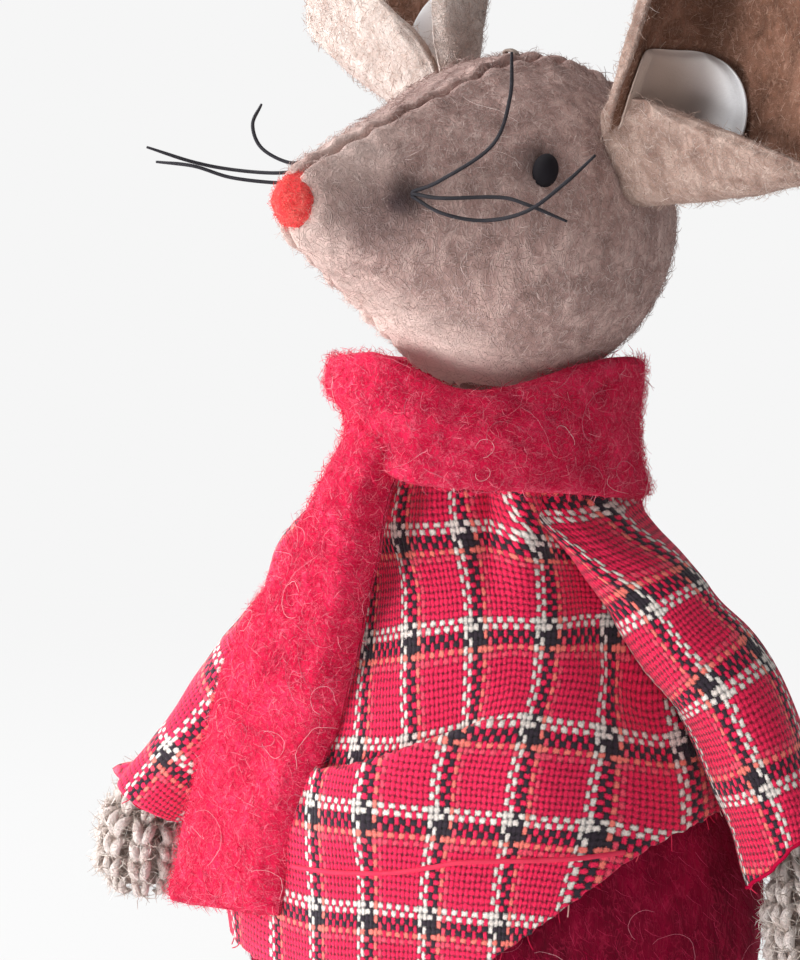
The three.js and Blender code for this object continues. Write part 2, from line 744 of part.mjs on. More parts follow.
function addLeg(name, side) {
  const hip = hipAt(side);
  const route = new THREE.CatmullRomCurve3(legRouteShares.map(([back, down]) => (
    new THREE.Vector3(0, back, -down).multiplyScalar(legLength).add(hip)
  )));
  const sideways = new THREE.Vector3(1, 0, 0);
  const hemShare = trouserLegLength / route.getLength();
  const outer = (share) => mix(
    hipRadius * thighNeckShare,
    trouserLegRadius,
    ramp(share, hemShare * thighStartShare, hemShare),
  );
  const start = hipRadius / route.getLength();
  const whole = limb(route, sideways, 0, hemShare, 4, 14, outer)
    .add(solid(ball(hipRadius, 14, 8).translate(...hip.toArray())));
  const hollow = limb(route, sideways, start / 3, hemShare + start / 4, 4, 12, (share) => (
    outer(share) - trouserFelt
  ));
  addPiece(bodyGroup, `trouser_leg_${name}`, whole.subtract(hollow), darkRedFelt);

  const knit = limb(route, sideways, 1.5 * start, 1, 13, 12, (share) => (
    Math.min(
      legRadius * readShares(legSwellShares, share)[0],
      outer(share) - trouserFelt - gap,
    )
  ));
  addPiece(bodyGroup, `leg_knit_${name}`, knit, paleKnit);
}

function tailRoot() {
  const seat = bodyRadius(Math.PI, tailDrop, -(shirtCloth + shirtEase));
  return new THREE.Vector3(0, seat + gap + tailRootRadius, -tailDrop);
}

function addTail() {
  const root = tailRoot();
  const route = new THREE.CatmullRomCurve3(tailRouteShares.map(([back, down]) => (
    new THREE.Vector3(0, back, -down).multiplyScalar(tailLength).add(root)
  )));
  const sideways = new THREE.Vector3(1, 0, 0);
  const tail = limb(route, sideways, 0, 1, 13, 8, (share) => (
    mix(tailRootRadius, tailTipRadius, share)
  ));
  addPiece(bodyGroup, 'tail', tail.add(solid(ball(tailRootRadius, 8, 6)
    .translate(...root.toArray()))), paleKnit);
}

addTack();
addHead();
addNoseAndEyes();
addWhiskers();
addEars();
addBody();
addScarf();
addArm('left', 1, leftArmShares);
addArm('right', -1, rightArmShares);
addLeg('left', 1);
addLeg('right', -1);
addTail();

export default model;
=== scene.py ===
import math
import random

import bpy
import numpy as np
from mathutils import Matrix, Vector, noise
from mathutils.bvhtree import BVHTree


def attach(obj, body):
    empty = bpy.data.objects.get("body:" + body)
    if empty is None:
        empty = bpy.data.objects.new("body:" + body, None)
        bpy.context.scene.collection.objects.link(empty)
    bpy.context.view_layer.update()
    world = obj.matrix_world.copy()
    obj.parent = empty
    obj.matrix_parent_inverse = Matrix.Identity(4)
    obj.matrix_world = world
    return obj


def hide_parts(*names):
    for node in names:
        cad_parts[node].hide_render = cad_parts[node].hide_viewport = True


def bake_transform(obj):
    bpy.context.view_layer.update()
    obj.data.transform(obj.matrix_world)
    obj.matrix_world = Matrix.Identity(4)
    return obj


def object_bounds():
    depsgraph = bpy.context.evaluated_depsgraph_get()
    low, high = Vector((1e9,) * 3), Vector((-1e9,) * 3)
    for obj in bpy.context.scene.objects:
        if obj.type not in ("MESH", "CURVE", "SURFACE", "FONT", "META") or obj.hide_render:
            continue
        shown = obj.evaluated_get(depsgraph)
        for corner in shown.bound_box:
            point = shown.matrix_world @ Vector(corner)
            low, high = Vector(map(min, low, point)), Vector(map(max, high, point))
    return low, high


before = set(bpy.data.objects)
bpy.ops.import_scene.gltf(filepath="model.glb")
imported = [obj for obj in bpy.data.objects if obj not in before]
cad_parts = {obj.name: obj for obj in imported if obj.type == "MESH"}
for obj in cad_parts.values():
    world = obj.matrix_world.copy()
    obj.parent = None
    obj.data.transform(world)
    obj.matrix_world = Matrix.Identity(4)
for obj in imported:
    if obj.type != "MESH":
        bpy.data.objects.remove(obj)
frame_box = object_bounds()
mm = 0.001

# Camera. The photograph looks slightly down on the mouse from its front left side,
# at ten pixels to the millimetre, and cuts it off at the ears and the hips.
head_centre = Vector((0, 0, -17.52 * mm))
view_azimuth = math.radians(22)
view_rise = math.radians(14.05)
view_distance = 480 * mm
pixel = 0.1 * mm
photo_middle = (400, 480)
head_middle_px = (510, 222)
lens_length = 180
sensor_width = 36
nearest_seen = 0.01


def direction(azimuth, rise):
    """The way out from the object at a turn from its front and a rise, both in radians."""
    return Vector((math.sin(azimuth) * math.cos(rise), -math.cos(azimuth) * math.cos(rise), math.sin(rise)))


def new_object(name, data):
    """An object in the scene."""
    made = bpy.data.objects.new(name, data)
    bpy.context.scene.collection.objects.link(made)
    return made


view_back = direction(view_azimuth, view_rise)
view_right = Vector((math.cos(view_azimuth), math.sin(view_azimuth), 0))
view_up = view_back.cross(view_right)
view_aim = (
    head_centre
    + view_right * (photo_middle[0] - head_middle_px[0]) * pixel
    - view_up * (photo_middle[1] - head_middle_px[1]) * pixel
)
camera_data = bpy.data.cameras.new("camera")
camera_data.lens = lens_length
camera_data.sensor_width = sensor_width
camera_data.clip_start = nearest_seen
camera = new_object("camera", camera_data)
camera.matrix_world = Matrix.Translation(view_aim + view_back * view_distance) @ Matrix(
    (view_right, view_up, view_back)
).transposed().to_4x4()
bpy.context.scene.camera = camera
bpy.context.scene.view_settings.view_transform = "Standard"


def add(tree, kind, inputs=None, **settings):
    """A node with its settings and inputs; an input that is a socket is linked."""
    made = tree.nodes.new(kind)
    for name, value in settings.items():
        setattr(made, name, value)
    for name, value in (inputs or {}).items():
        if isinstance(value, bpy.types.NodeSocket):
            tree.links.new(value, made.inputs[name])
        else:
            made.inputs[name].default_value = value
    return made


def calc(tree, operation, *values):
    """The result of a math node on sockets and numbers."""
    return add(tree, "ShaderNodeMath", dict(enumerate(values)), operation=operation).outputs[0]


def vector_calc(tree, operation, *values):
    """The result of a vector math node on sockets and vectors."""
    made = add(tree, "ShaderNodeVectorMath", dict(enumerate(values)), operation=operation)
    return made.outputs["Value" if operation in ("LENGTH", "DISTANCE") else "Vector"]


def remap(tree, value, start, end, low=0.0, high=1.0, **settings):
    """A value stretched from the span between start and end to that between low and high."""
    return add(tree, "ShaderNodeMapRange", {
        "Value": value, "From Min": start, "From Max": end, "To Min": low, "To Max": high,
    }, **settings).outputs[0]


def tint(code):
    """A colour written as it looks on screen, turned to the linear values that nodes take."""
    parts = [int(code[i:i + 2], 16) / 255 for i in (1, 3, 5)]
    linear = [p / 12.92 if p <= 0.04045 else ((p + 0.055) / 1.055) ** 2.4 for p in parts]
    return (*linear, 1.0)


def new_material(name):
    """An empty material, its node tree, and the place on the object for its patterns."""
    made = bpy.data.materials.new(name)
    made.use_nodes = True
    made.node_tree.nodes.clear()
    return made, made.node_tree, add(made.node_tree, "ShaderNodeTexCoord").outputs["Object"]


# Studio. A pale floor under the hanging mouse and a pale sweep of light round it, with
# a soft lamp low at the front left, one high at the left and one from behind.
floor_drop = 30 * mm
floor_half = 4.0
backdrop_white = tint("#f6f6f6")
sky_strength = 0.24
floor_z = frame_box[0].z - floor_drop
floor_mesh = bpy.data.meshes.new("floor")
floor_mesh.from_pydata(
    [(x * floor_half, y * floor_half, floor_z) for x, y in ((-1, -1), (1, -1), (1, 1), (-1, 1))],
    [], [(0, 1, 2, 3)],
)
floor = new_object("floor", floor_mesh)
floor_look, tree, where = new_material("floor_paper")
seen = add(tree, "ShaderNodeLightPath")
paper = add(tree, "ShaderNodeBsdfPrincipled", {"Base Color": tint("#dcdcdc"), "Roughness": 0.9})
glow = add(tree, "ShaderNodeEmission", {"Color": backdrop_white, "Strength": 1.0})
paleness = remap(
    tree, vector_calc(tree, "LENGTH", where), 0.20, 0.50, 0.80, 1.0, interpolation_type="SMOOTHSTEP",
)
glow_share = calc(tree, "MULTIPLY", seen.outputs["Is Camera Ray"], paleness)
both = add(tree, "ShaderNodeMixShader", {0: glow_share, 1: paper.outputs[0], 2: glow.outputs[0]})
add(tree, "ShaderNodeOutputMaterial", {"Surface": both.outputs[0]})
floor_mesh.materials.append(floor_look)

world = bpy.data.worlds.new("studio")
bpy.context.scene.world = world
world.use_nodes = True
tree = world.node_tree
tree.nodes.clear()
seen = add(tree, "ShaderNodeLightPath")
direct = calc(tree, "MAXIMUM", seen.outputs["Is Camera Ray"], seen.outputs["Is Glossy Ray"])
through = calc(tree, "MAXIMUM", direct, seen.outputs["Is Transmission Ray"])
sky = add(tree, "ShaderNodeBackground", {"Color": tint("#f4f4f6"), "Strength": sky_strength})
white = add(tree, "ShaderNodeBackground", {"Color": backdrop_white, "Strength": 1.0})
both = add(tree, "ShaderNodeMixShader", {0: through, 1: sky.outputs[0], 2: white.outputs[0]})
add(tree, "ShaderNodeOutputWorld", {"Surface": both.outputs[0]})

# Each lamp has its turn from the front and its rise in degrees, distance, width and power.
lamps = {
    "key_lamp": (-50, -8, 0.26, 0.18, 0.86),
    "fill_lamp": (34, -6, 0.60, 0.50, 1.3),
    "low_lamp": (-30, -50, 0.45, 0.30, 1.25),
    "high_lamp": (-80, 46, 0.60, 0.36, 3.0),
    "back_lamp": (-138, 14, 0.55, 0.50, 3.6),
}
for name, (azimuth, rise, distance, width, power) in lamps.items():
    lamp = bpy.data.lights.new(name, "AREA")
    lamp.shape = "SQUARE"
    lamp.size = width
    lamp.energy = power
    lamp_back = direction(math.radians(azimuth), math.radians(rise))
    lamp_object = new_object(name, lamp)
    lamp_object.location = view_aim + lamp_back * distance
    lamp_object.rotation_euler = lamp_back.to_track_quat("Z", "Y").to_euler()


# Head. Two mirrored halves of grey-brown wool felt, cut to a ball that runs out into a
# blunt snout, sewn edge to edge over the crown and under the chin, turned and stuffed.
head_radius = 16.5 * mm
snout_reach = 25.3 * mm
snout_rim = 4.0 * mm
head_wall = 1.5 * mm
seam_lip = 0.62 * mm
seam_reach = 2.1 * mm
seam_turn = Matrix.Rotation(math.radians(6), 3, "Y")
eye_radius = 1.7 * mm
eye_depth = 16.26 * mm
eye_azimuth = math.radians(61.3)
eye_rise = math.radians(26)
head_turn = (
    Matrix.Rotation(math.radians(-32.3), 3, "Z")
    @ Matrix.Rotation(math.radians(-11), 3, "X")
    @ Matrix.Rotation(math.radians(2.6), 3, "Y")
)
whisker_root = Vector((8.1, -19.0, 2.9)) * mm
head_rows = 120
half_around = 56


def on_head(point):
    """A point given in the head's own axes (left, back, up), placed on the turned head."""
    return head_centre + head_turn @ Vector(point)


def eye_place(side):
    """The middle of an eye bead in the head's own axes."""
    return direction(side * eye_azimuth, eye_rise) * eye_depth


def make_piece(name, points, faces, corner_uvs=None):
    """A mesh object from points and faces, with an optional map of corner positions."""
    mesh = bpy.data.meshes.new(name)
    mesh.from_pydata([tuple(p) for p in points], [], faces)
    if corner_uvs is not None:
        layer = mesh.uv_layers.new(name="cloth")
        layer.data.foreach_set("uv", np.asarray(corner_uvs, np.float32).ravel())
    mesh.polygons.foreach_set("use_smooth", [True] * len(mesh.polygons))
    mesh.update()
    return new_object(name, mesh)


def loft(name, rings):
    """Closed rings of equal count joined into one skin, its ends filled."""
    count = len(rings[0])
    points = [p for ring in rings for p in ring]
    faces = []
    for i in range(len(rings) - 1):
        for j in range(count):
            k = (j + 1) % count
            faces.append((i * count + j, i * count + k, (i + 1) * count + k, (i + 1) * count + j))
    for first, turned in ((0, True), ((len(rings) - 1) * count, False)):
        points.append(sum((Vector(points[first + j]) for j in range(count)), Vector()) / count)
        hub = len(points) - 1
        for j in range(count):
            k = (j + 1) % count
            pair = (first + k, first + j) if turned else (first + j, first + k)
            faces.append((hub, *pair))
    return make_piece(name, points, faces)


def face_outward(piece):
    """Turns a closed mesh's faces outward by the sign of its volume."""
    mesh = piece.data
    mesh.calc_loop_triangles()
    spots = np.empty(len(mesh.vertices) * 3)
    mesh.vertices.foreach_get("co", spots)
    spots = spots.reshape(-1, 3)
    corners = np.empty(len(mesh.loop_triangles) * 3, np.int32)
    mesh.loop_triangles.foreach_get("vertices", corners)
    a, b, c = (spots[corners.reshape(-1, 3)[:, i]] for i in range(3))
    if np.einsum("ij,ij->i", a, np.cross(b, c)).sum() < 0:
        mesh.flip_normals()
    return piece


def lumps(point, size, height, seed=0):
    """Smooth unevenness of hand-stuffed felt, by the place of the point."""
    return height * noise.noise(Vector(point) / size + Vector((seed, seed, seed)))


def dent(point, centre, reach):
    """1 at a centre, falling smoothly to nothing a few reaches away."""
    return math.exp(-((Vector(point) - Vector(centre)).length / reach) ** 2)


def head_outline(rows):
    """Forward distance and radius along the felt, from the back of the head to the snout."""
    rim_angle = math.atan2(snout_rim, snout_reach)
    touch = rim_angle + math.acos(head_radius / math.hypot(snout_reach, snout_rim))
    touch_at = (head_radius * math.cos(touch), head_radius * math.sin(touch))
    arc = head_radius * (math.pi - touch)
    cone = math.hypot(snout_reach - touch_at[0], snout_rim - touch_at[1])
    tip = 1.6 * mm
    total = arc + cone + tip
    found = []
    for i in range(rows):
        along = total * (0.01 + 0.99 * i / (rows - 1))
        if along < arc:
            angle = math.pi - along / head_radius
            found.append((head_radius * math.cos(angle), head_radius * math.sin(angle)))
        elif along < arc + cone:
            part = (along - arc) / cone
            ends = (snout_reach, snout_rim)
            found.append(tuple(a + (b - a) * part for a, b in zip(touch_at, ends)))
        else:
            turn = (along - arc - cone) / tip * math.pi / 2
            found.append((
                snout_reach + 0.9 * mm * math.sin(turn),
                snout_rim - 1.5 * mm * (1 - math.cos(turn)),
            ))
    return found


def head_half(name, side):
    """One felt half as a closed shell: its outside, the turned-in seam edges, its inside."""
    angles = [
        math.pi / 2 * math.sin(math.pi / 2 * (2 * j / half_around - 1)) for j in range(half_around + 1)
    ]
    rings = []
    for row, (forward, radius) in enumerate(head_outline(head_rows)):
        outer, inner = [], []
        for angle in angles:
            flat = Vector((side * radius * math.cos(angle), -forward, radius * math.sin(angle)))
            near = abs(flat.x)
            flat = seam_turn @ (flat + Vector((side * 0.05 * mm, 0, 0)))
            outward = flat.normalized()
            wobble = 1 + 0.35 * math.sin(row * 0.9) + lumps(flat, 1.6 * mm, 0.7, 7)
            lip = seam_lip * wobble * math.exp(-((near - 0.5 * mm) / seam_reach) ** 2)
            edge = 1.4 * mm * math.exp(-(near / (0.36 * mm)) ** 2)
            felt = lumps(flat, 4.2 * mm, 0.22 * mm) + lumps(flat, 1.5 * mm, 0.10 * mm, 3)
            felt -= 0.75 * mm * dent(flat, eye_place(side), 2.6 * mm)
            felt -= 0.55 * mm * dent(flat, (side * whisker_root.x, *whisker_root.yz), 1.3 * mm)
            outer.append(on_head(flat + outward * (felt + lip - edge)))
            inner.append(on_head(flat * max(0.0, 1 - head_wall / max(flat.length, head_wall))))
        rings.append(outer + inner[::-1])
    return face_outward(loft(name, rings))


def dress(node, body, slot, *pieces):
    """Pieces that move with a body; the first stands for a node of the frame. The slot is not used."""
    for piece in pieces:
        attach(piece, body)
    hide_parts(node)


def give_group(name, kind, inputs, outputs):
    """A node group and its input sockets; a socket is given by its number or its kind."""
    group = bpy.data.node_groups.new(name, kind)
    for way, sockets in (("INPUT", inputs), ("OUTPUT", outputs)):
        for label, value in sockets.items():
            word = value if isinstance(value, str) else "Int" if isinstance(value, int) else "Float"
            socket = group.interface.new_socket(label, in_out=way, socket_type=f"NodeSocket{word}")
            if word != value:
                socket.default_value = value
    return group, group.nodes.new("NodeGroupInput").outputs


def noise_at(tree, place, scale, detail=2.0, roughness=0.5, twist=0.0, output="Fac"):
    """A cloudy noise at a place."""
    return add(tree, "ShaderNodeTexNoise", {
        "Vector": place, "Scale": scale, "Detail": detail, "Roughness": roughness, "Distortion": twist,
    }).outputs[output]


def mix_colours(tree, share, first, second):
    """Two colours mixed by a share."""
    return add(tree, "ShaderNodeMix", {0: share, 6: first, 7: second}, data_type="RGBA").outputs[2]


def colour_ramp(tree, value, stops, interpolation="LINEAR"):
    """Colours by value; the stops are places and colours, the ramp's own two first."""
    made = add(tree, "ShaderNodeValToRGB", {0: value})
    made.color_ramp.interpolation = interpolation
    elements = made.color_ramp.elements
    for number, (place, code) in enumerate(stops):
        stop = elements[number] if number < 2 else elements.new(place)
        stop.position = place
        stop.color = tint(code)
    return made.outputs[0]


def give_surface(tree, values):
    """A Principled surface with these values, as the material's output."""
    surface = add(tree, "ShaderNodeBsdfPrincipled", values)
    add(tree, "ShaderNodeOutputMaterial", {"Surface": surface.outputs[0]})


def bump(tree, height, strength, distance):
    """The normal of a surface raised by a height."""
    return add(tree, "ShaderNodeBump", {
        "Height": height, "Strength": strength, "Distance": distance,
    }).outputs[0]


def thin_lines(tree, place, scale, width, twist):
    """Curling hairlines where a noise crosses its middle."""
    middle = calc(tree, "SUBTRACT", noise_at(tree, place, scale, 1.0, 0.5, twist), 0.5)
    return remap(tree, calc(tree, "ABSOLUTE", middle), 0.0, width, 1.0, 0.0)


felt_group, taken = give_group(
    "matted_wool", "ShaderNodeTree", {"Place": "Vector", "Blotch Scale": 320.0, "Fibre Scale": 900.0},
    {"Mottle": "Float", "Fibres": "Float", "Height": "Float"},
)
blotches = noise_at(felt_group, taken["Place"], taken["Blotch Scale"], 4.0, 0.65, 0.6)
mottle = remap(felt_group, blotches, 0.32, 0.68)
first_lines = thin_lines(felt_group, taken["Place"], taken["Fibre Scale"], 0.035, 2.2)
shifted = vector_calc(felt_group, "ADD", taken["Place"], (0.37, 0.11, 0.83))
finer = calc(felt_group, "MULTIPLY", taken["Fibre Scale"], 1.7)
second_lines = thin_lines(felt_group, shifted, finer, 0.045, 1.4)
hairs = calc(felt_group, "MAXIMUM", first_lines, second_lines)
grit = noise_at(felt_group, taken["Place"], 3600.0)
lines_height = calc(felt_group, "MULTIPLY", hairs, 0.5)
grit_height = calc(felt_group, "MULTIPLY_ADD", grit, 0.5, lines_height)
all_height = calc(felt_group, "MULTIPLY_ADD", mottle, 0.6, grit_height)
add(felt_group, "NodeGroupOutput", {"Mottle": mottle, "Fibres": hairs, "Height": all_height})


def paint_spots(tree, place, colour, spots):
    """Soft round patches of painted light and painted shade, each a centre, its reach, an amount and a
    colour.
    """
    for spot, reach, amount, code in spots:
        away = vector_calc(tree, "DISTANCE", place, tuple(spot))
        near = remap(tree, away, reach * 0.25, reach, amount, 0.0, interpolation_type="SMOOTHSTEP")
        colour = mix_colours(tree, near, colour, tint(code))
    return colour


def felt_material(name, dark, middle, light, hair, blotch=320.0, fibre=900.0, stretch=1.0, spots=(),
                  hairs=0.45, relief=0.8, painted_hollow_shade=None):
    """Matted wool: blotches from dark to light, curling fibres over them, and soft spots of painted light and
    painted shade.

    Painted shade darkens the hollows where an attribute falls: its name, its high and low values,
    an amount and a colour.
    """
    look, tree, where = new_material(name)
    wool = add(tree, "ShaderNodeGroup", {
        "Place": vector_calc(tree, "MULTIPLY", where, (1.0, 1.0, stretch)),
        "Blotch Scale": blotch, "Fibre Scale": fibre,
    }, node_tree=felt_group).outputs
    base = colour_ramp(tree, wool["Mottle"], ((0.0, dark), (1.0, light), (0.5, middle)))
    mixed = mix_colours(tree, calc(tree, "MULTIPLY", wool["Fibres"], hairs), base, tint(hair))
    colour = paint_spots(tree, where, mixed, spots)
    if painted_hollow_shade:
        attribute, low, high, amount, code = painted_hollow_shade
        height = add(tree, "ShaderNodeAttribute", attribute_name=attribute).outputs["Fac"]
        colour = mix_colours(tree, remap(tree, height, low, high, amount, 0.0), colour, tint(code))
    give_surface(tree, {
        "Base Color": colour, "Roughness": 0.95, "Normal": bump(tree, wool["Height"], relief, 0.22 * mm),
        "Sheen Weight": 0.25, "Sheen Roughness": 0.5, "Sheen Tint": tint(hair), "Specular IOR Level": 0.15,
    })
    return look


def fibre_material(name, dark, light, pale, spots=()):
    """Single wool fibres: each strand has its own tone between dark and pale, with soft spots of painted
    light and painted shade over them.
    """
    look, tree, where = new_material(name)
    own = add(tree, "ShaderNodeAttribute", attribute_name="strand_shade").outputs["Fac"]
    shade = colour_ramp(tree, own, ((0.0, dark), (1.0, pale), (0.75, light)))
    give_surface(tree, {
        "Base Color": paint_spots(tree, where, shade, spots), "Roughness": 0.95, "Specular IOR Level": 0.0,
    })
    return look


def random_number(tree, low, high, seed):
    """A number of each copy's own."""
    return add(tree, "FunctionNodeRandomValue", {
        2: low, 3: high, "Seed": seed,
    }, data_type="FLOAT").outputs[1]


def end_tree(tree, copies, material):
    """Makes copies real, gives them their material and puts them out of the tree."""
    real = add(tree, "GeometryNodeRealizeInstances", {"Geometry": copies})
    dressed = add(tree, "GeometryNodeSetMaterial", {"Geometry": real.outputs[0], "Material": material})
    add(tree, "NodeGroupOutput", {"Geometry": dressed.outputs[0]})
    return tree


def build_fibre_tree():
    """Geometry nodes: tapered wool fibres scattered over a surface, lying or lifted."""
    tree, taken = give_group("loose_fibres", "GeometryNodeTree", {
        "Geometry": "Geometry", "Per Area": 1e7, "Length": 2 * mm, "Thinness": 0.02, "Lift": 0.3,
        "Combed": 0.0, "Seed": 1, "Material": "Material",
    }, {"Geometry": "Geometry"})
    nap = add(tree, "GeometryNodeInputNamedAttribute", {"Name": "nap"}, data_type="FLOAT")
    scatter = add(tree, "GeometryNodeDistributePointsOnFaces", {
        "Mesh": taken["Geometry"], "Density": calc(tree, "MULTIPLY", nap.outputs[0], taken["Per Area"]),
        "Seed": taken["Seed"],
    }, distribute_method="RANDOM").outputs
    bend = add(tree, "ShaderNodeCombineXYZ", {0: 0.45, 2: calc(tree, "MULTIPLY", taken["Lift"], 1.1)})
    far = add(tree, "ShaderNodeCombineXYZ", {0: 0.85, 1: 0.35, 2: taken["Lift"]})
    line = add(tree, "GeometryNodeCurveQuadraticBezier", {
        "Resolution": 3, "Start": (0, 0, -0.04), "Middle": bend.outputs[0], "End": far.outputs[0],
    })
    bent = add(tree, "GeometryNodeResampleCurve", {"Curve": line.outputs[0], "Count": 3}, mode="COUNT")
    along = add(tree, "GeometryNodeSplineParameter").outputs["Factor"]
    profile = add(tree, "GeometryNodeCurvePrimitiveCircle", {"Resolution": 3, "Radius": taken["Thinness"]})
    strand = add(tree, "GeometryNodeCurveToMesh", {
        "Curve": bent.outputs[0], "Profile Curve": profile.outputs["Curve"],
        "Scale": remap(tree, along, 0.0, 1.0, 1.25, 0.4), "Fill Caps": True,
    })
    length = calc(tree, "MULTIPLY", random_number(tree, 0.45, 1.25, 11), taken["Length"])
    height = calc(tree, "MULTIPLY", length, random_number(tree, 0.15, 1.6, 12))
    scale = add(tree, "ShaderNodeCombineXYZ", {0: length, 1: length, 2: height})
    combed = add(tree, "FunctionNodeAlignRotationToVector", {
        "Rotation": scatter["Rotation"], "Factor": taken["Combed"], "Vector": (0, 0, -1),
    }, axis="X", pivot_axis="Z")
    copies = add(tree, "GeometryNodeInstanceOnPoints", {
        "Points": scatter["Points"], "Instance": strand.outputs[0],
        "Rotation": combed.outputs[0], "Scale": scale.outputs[0],
    })
    freedom = calc(tree, "MULTIPLY_ADD", taken["Combed"], -math.pi, math.pi)
    turn = calc(tree, "MULTIPLY", random_number(tree, -1.0, 1.0, 13), freedom)
    spin = add(tree, "ShaderNodeCombineXYZ", {2: turn})
    turned = add(tree, "GeometryNodeRotateInstances", {
        "Instances": copies.outputs[0], "Rotation": spin.outputs[0],
    })
    marked = add(tree, "GeometryNodeStoreNamedAttribute", {
        "Geometry": turned.outputs[0], "Name": "strand_shade", "Value": random_number(tree, 0.0, 1.0, 14),
    }, data_type="FLOAT", domain="INSTANCE")
    return end_tree(tree, marked.outputs[0], taken["Material"])


fibre_tree = build_fibre_tree()


def set_nap(piece, values):
    """How thickly fibres grow at each point of a piece, from 0 to 1."""
    layer = piece.data.attributes.get("nap") or piece.data.attributes.new("nap", "FLOAT", "POINT")
    layer.data.foreach_set("value", np.asarray(values, np.float32))


def get_nap(piece):
    """The nap at each point of a piece."""
    nap = np.empty(len(piece.data.vertices), np.float32)
    piece.data.attributes["nap"].data.foreach_get("value", nap)
    return nap


def bake_tree(name, host, tree, settings):
    """Runs a geometry tree on a copy of a piece and keeps the result as a plain mesh."""
    carrier = new_object(f"{name}_carrier", host.data.copy())
    modifier = carrier.modifiers.new("made", "NODES")
    modifier.node_group = tree
    for item in tree.interface.items_tree:
        if item.item_type == "SOCKET" and item.in_out == "INPUT" and item.name in settings:
            modifier[item.identifier] = settings[item.name]
    bpy.context.view_layer.update()
    seen_now = carrier.evaluated_get(bpy.context.evaluated_depsgraph_get())
    mesh = bpy.data.meshes.new_from_object(seen_now)
    mesh.name = name
    bpy.data.objects.remove(carrier)
    return new_object(name, mesh)


def grow_fibres(name, host, look, count, length, thickness, lift, seed, combed=0.0):
    """A coat of wool fibres over a felt piece, as many as the count asks."""
    nap = get_nap(host)
    area = sum(p.area * float(nap[list(p.vertices)].mean()) for p in host.data.polygons)
    return bake_tree(name, host, fibre_tree, {
        "Per Area": count / area, "Length": length, "Combed": combed,
        "Thinness": thickness / length / 2, "Lift": lift, "Seed": seed, "Material": look,
    })

def join_strands(name, paths, radii, look):
    """Many thin threads, each a path with its radii, made one piece with a shade for each."""
    points, faces, shades = [], [], []
    for number, (path, radius) in enumerate(zip(paths, radii)):
        path = np.asarray(path)
        ahead = np.gradient(path, axis=0)
        ahead /= np.maximum(np.linalg.norm(ahead, axis=1, keepdims=True), 1e-12)
        side_way = np.cross(ahead, (0.31, 0.52, 0.79))
        side_way /= np.maximum(np.linalg.norm(side_way, axis=1, keepdims=True), 1e-12)
        third = np.cross(ahead, side_way)
        first = len(points)
        for place, one, two, r in zip(path, side_way, third, radius):
            points.extend(place + (one * c + two * d) * r for c, d in ((1, 0), (0, 1), (-1, 0), (0, -1)))
        for i in range(len(path) - 1):
            for j in range(4):
                a, b = first + 4 * i + j, first + 4 * i + (j + 1) % 4
                faces.append((a, b, b + 4, a + 4))
        last = first + 4 * (len(path) - 1)
        faces += [(first + 3, first + 2, first + 1, first), (last, last + 1, last + 2, last + 3)]
        shades += [(number * 0.618) % 1] * (4 * len(path))
    made = face_outward(make_piece(name, points, faces))
    made.data.attributes.new("strand_shade", "FLOAT", "POINT").data.foreach_set("value", shades)
    made.data.materials.append(look)
    return made


def stray_hairs(name, host, look, count, length, thickness, lift, seed, region=lambda place: True):
    """Long loose hairs that wander over a felt piece and stand off it at their ends."""
    draw = random.Random(seed)
    mesh = host.data
    nap = get_nap(host)
    open_faces = [tuple(p.vertices) for p in mesh.polygons if nap[list(p.vertices)].min() > 0.5]
    spots = [v.co.copy() for v in mesh.vertices]
    skin = BVHTree.FromPolygons(spots, open_faces)
    paths, radii = [], []
    while len(paths) < count:
        place = spots[draw.choice(open_faces)[0]]
        if not region(place):
            continue
        steps = 16
        step = length * draw.uniform(0.4, 1.5) / steps
        way = Vector([draw.uniform(-1, 1) for _ in range(3)])
        curl, rise = draw.uniform(-0.35, 0.35), draw.uniform(0.2, 1.4) * lift
        path = []
        for i in range(steps + 1):
            near, normal, _, _ = skin.find_nearest(place)
            way = (way - normal * way.dot(normal)).normalized()
            way = Matrix.Rotation(curl + draw.uniform(-0.25, 0.25), 3, normal) @ way
            path.append(near + normal * (rise * (0.25 + abs(2 * i / steps - 1) ** 2 * 1.6)))
            place = near + way * step
        paths.append([tuple(p) for p in path])
        radii.append([
            thickness / 2 * (0.45 + 0.55 * math.sin(math.pi * min(1, 0.15 + 0.85 * i / steps)))
            for i in range(steps + 1)
        ])
    return join_strands(name, paths, radii, look)


# Paler and darker places of the felt, painted light and painted shade: the paler places are painted light
# under the chin and along the snout, each a centre in the head's axes in mm, a reach, an amount.
painted_light_places = [
    ((0, -7, -14.5), 14, 1.0), ((0, -15, -9), 9, 0.6), ((0, -24, -3), 7, 0.6), ((0, -21, 4), 8, 0.55),
]
painted_light_spots = [
    (on_head(Vector(place) * mm), reach * mm, amount, "#eed6cd") for place, reach, amount in painted_light_places
]
painted_shade_spots = []
# Painted shade: darker patches in the dimples at each whisker root and above each eye, and a grey painted
# shade on the snout below the roots.
for side in (1, -1):
    root = Vector((side * whisker_root.x, *whisker_root.yz))
    painted_shade_spots += [
        (on_head(root + Vector((0, -3, -3.2)) * mm), 6.5 * mm, 0.45, "#6a5655"),
        (on_head(root), 3.4 * mm, 0.7, "#2c2428"),
        (on_head(root + Vector((-0.3 * side, -1.1, -0.9)) * mm), 2.0 * mm, 0.55, "#3a2c38"),
        (on_head(eye_place(side) + Vector((0, -0.9, 1.3)) * mm), 3.5 * mm, 0.55, "#2c2428"),
    ]
head_felt = felt_material(
    "grey_wool_felt", "#8c706a", "#b09089", "#d4b4ac", "#e6cfc8", blotch=420.0, fibre=700.0, stretch=0.6,
    spots=painted_light_spots + painted_shade_spots,
)
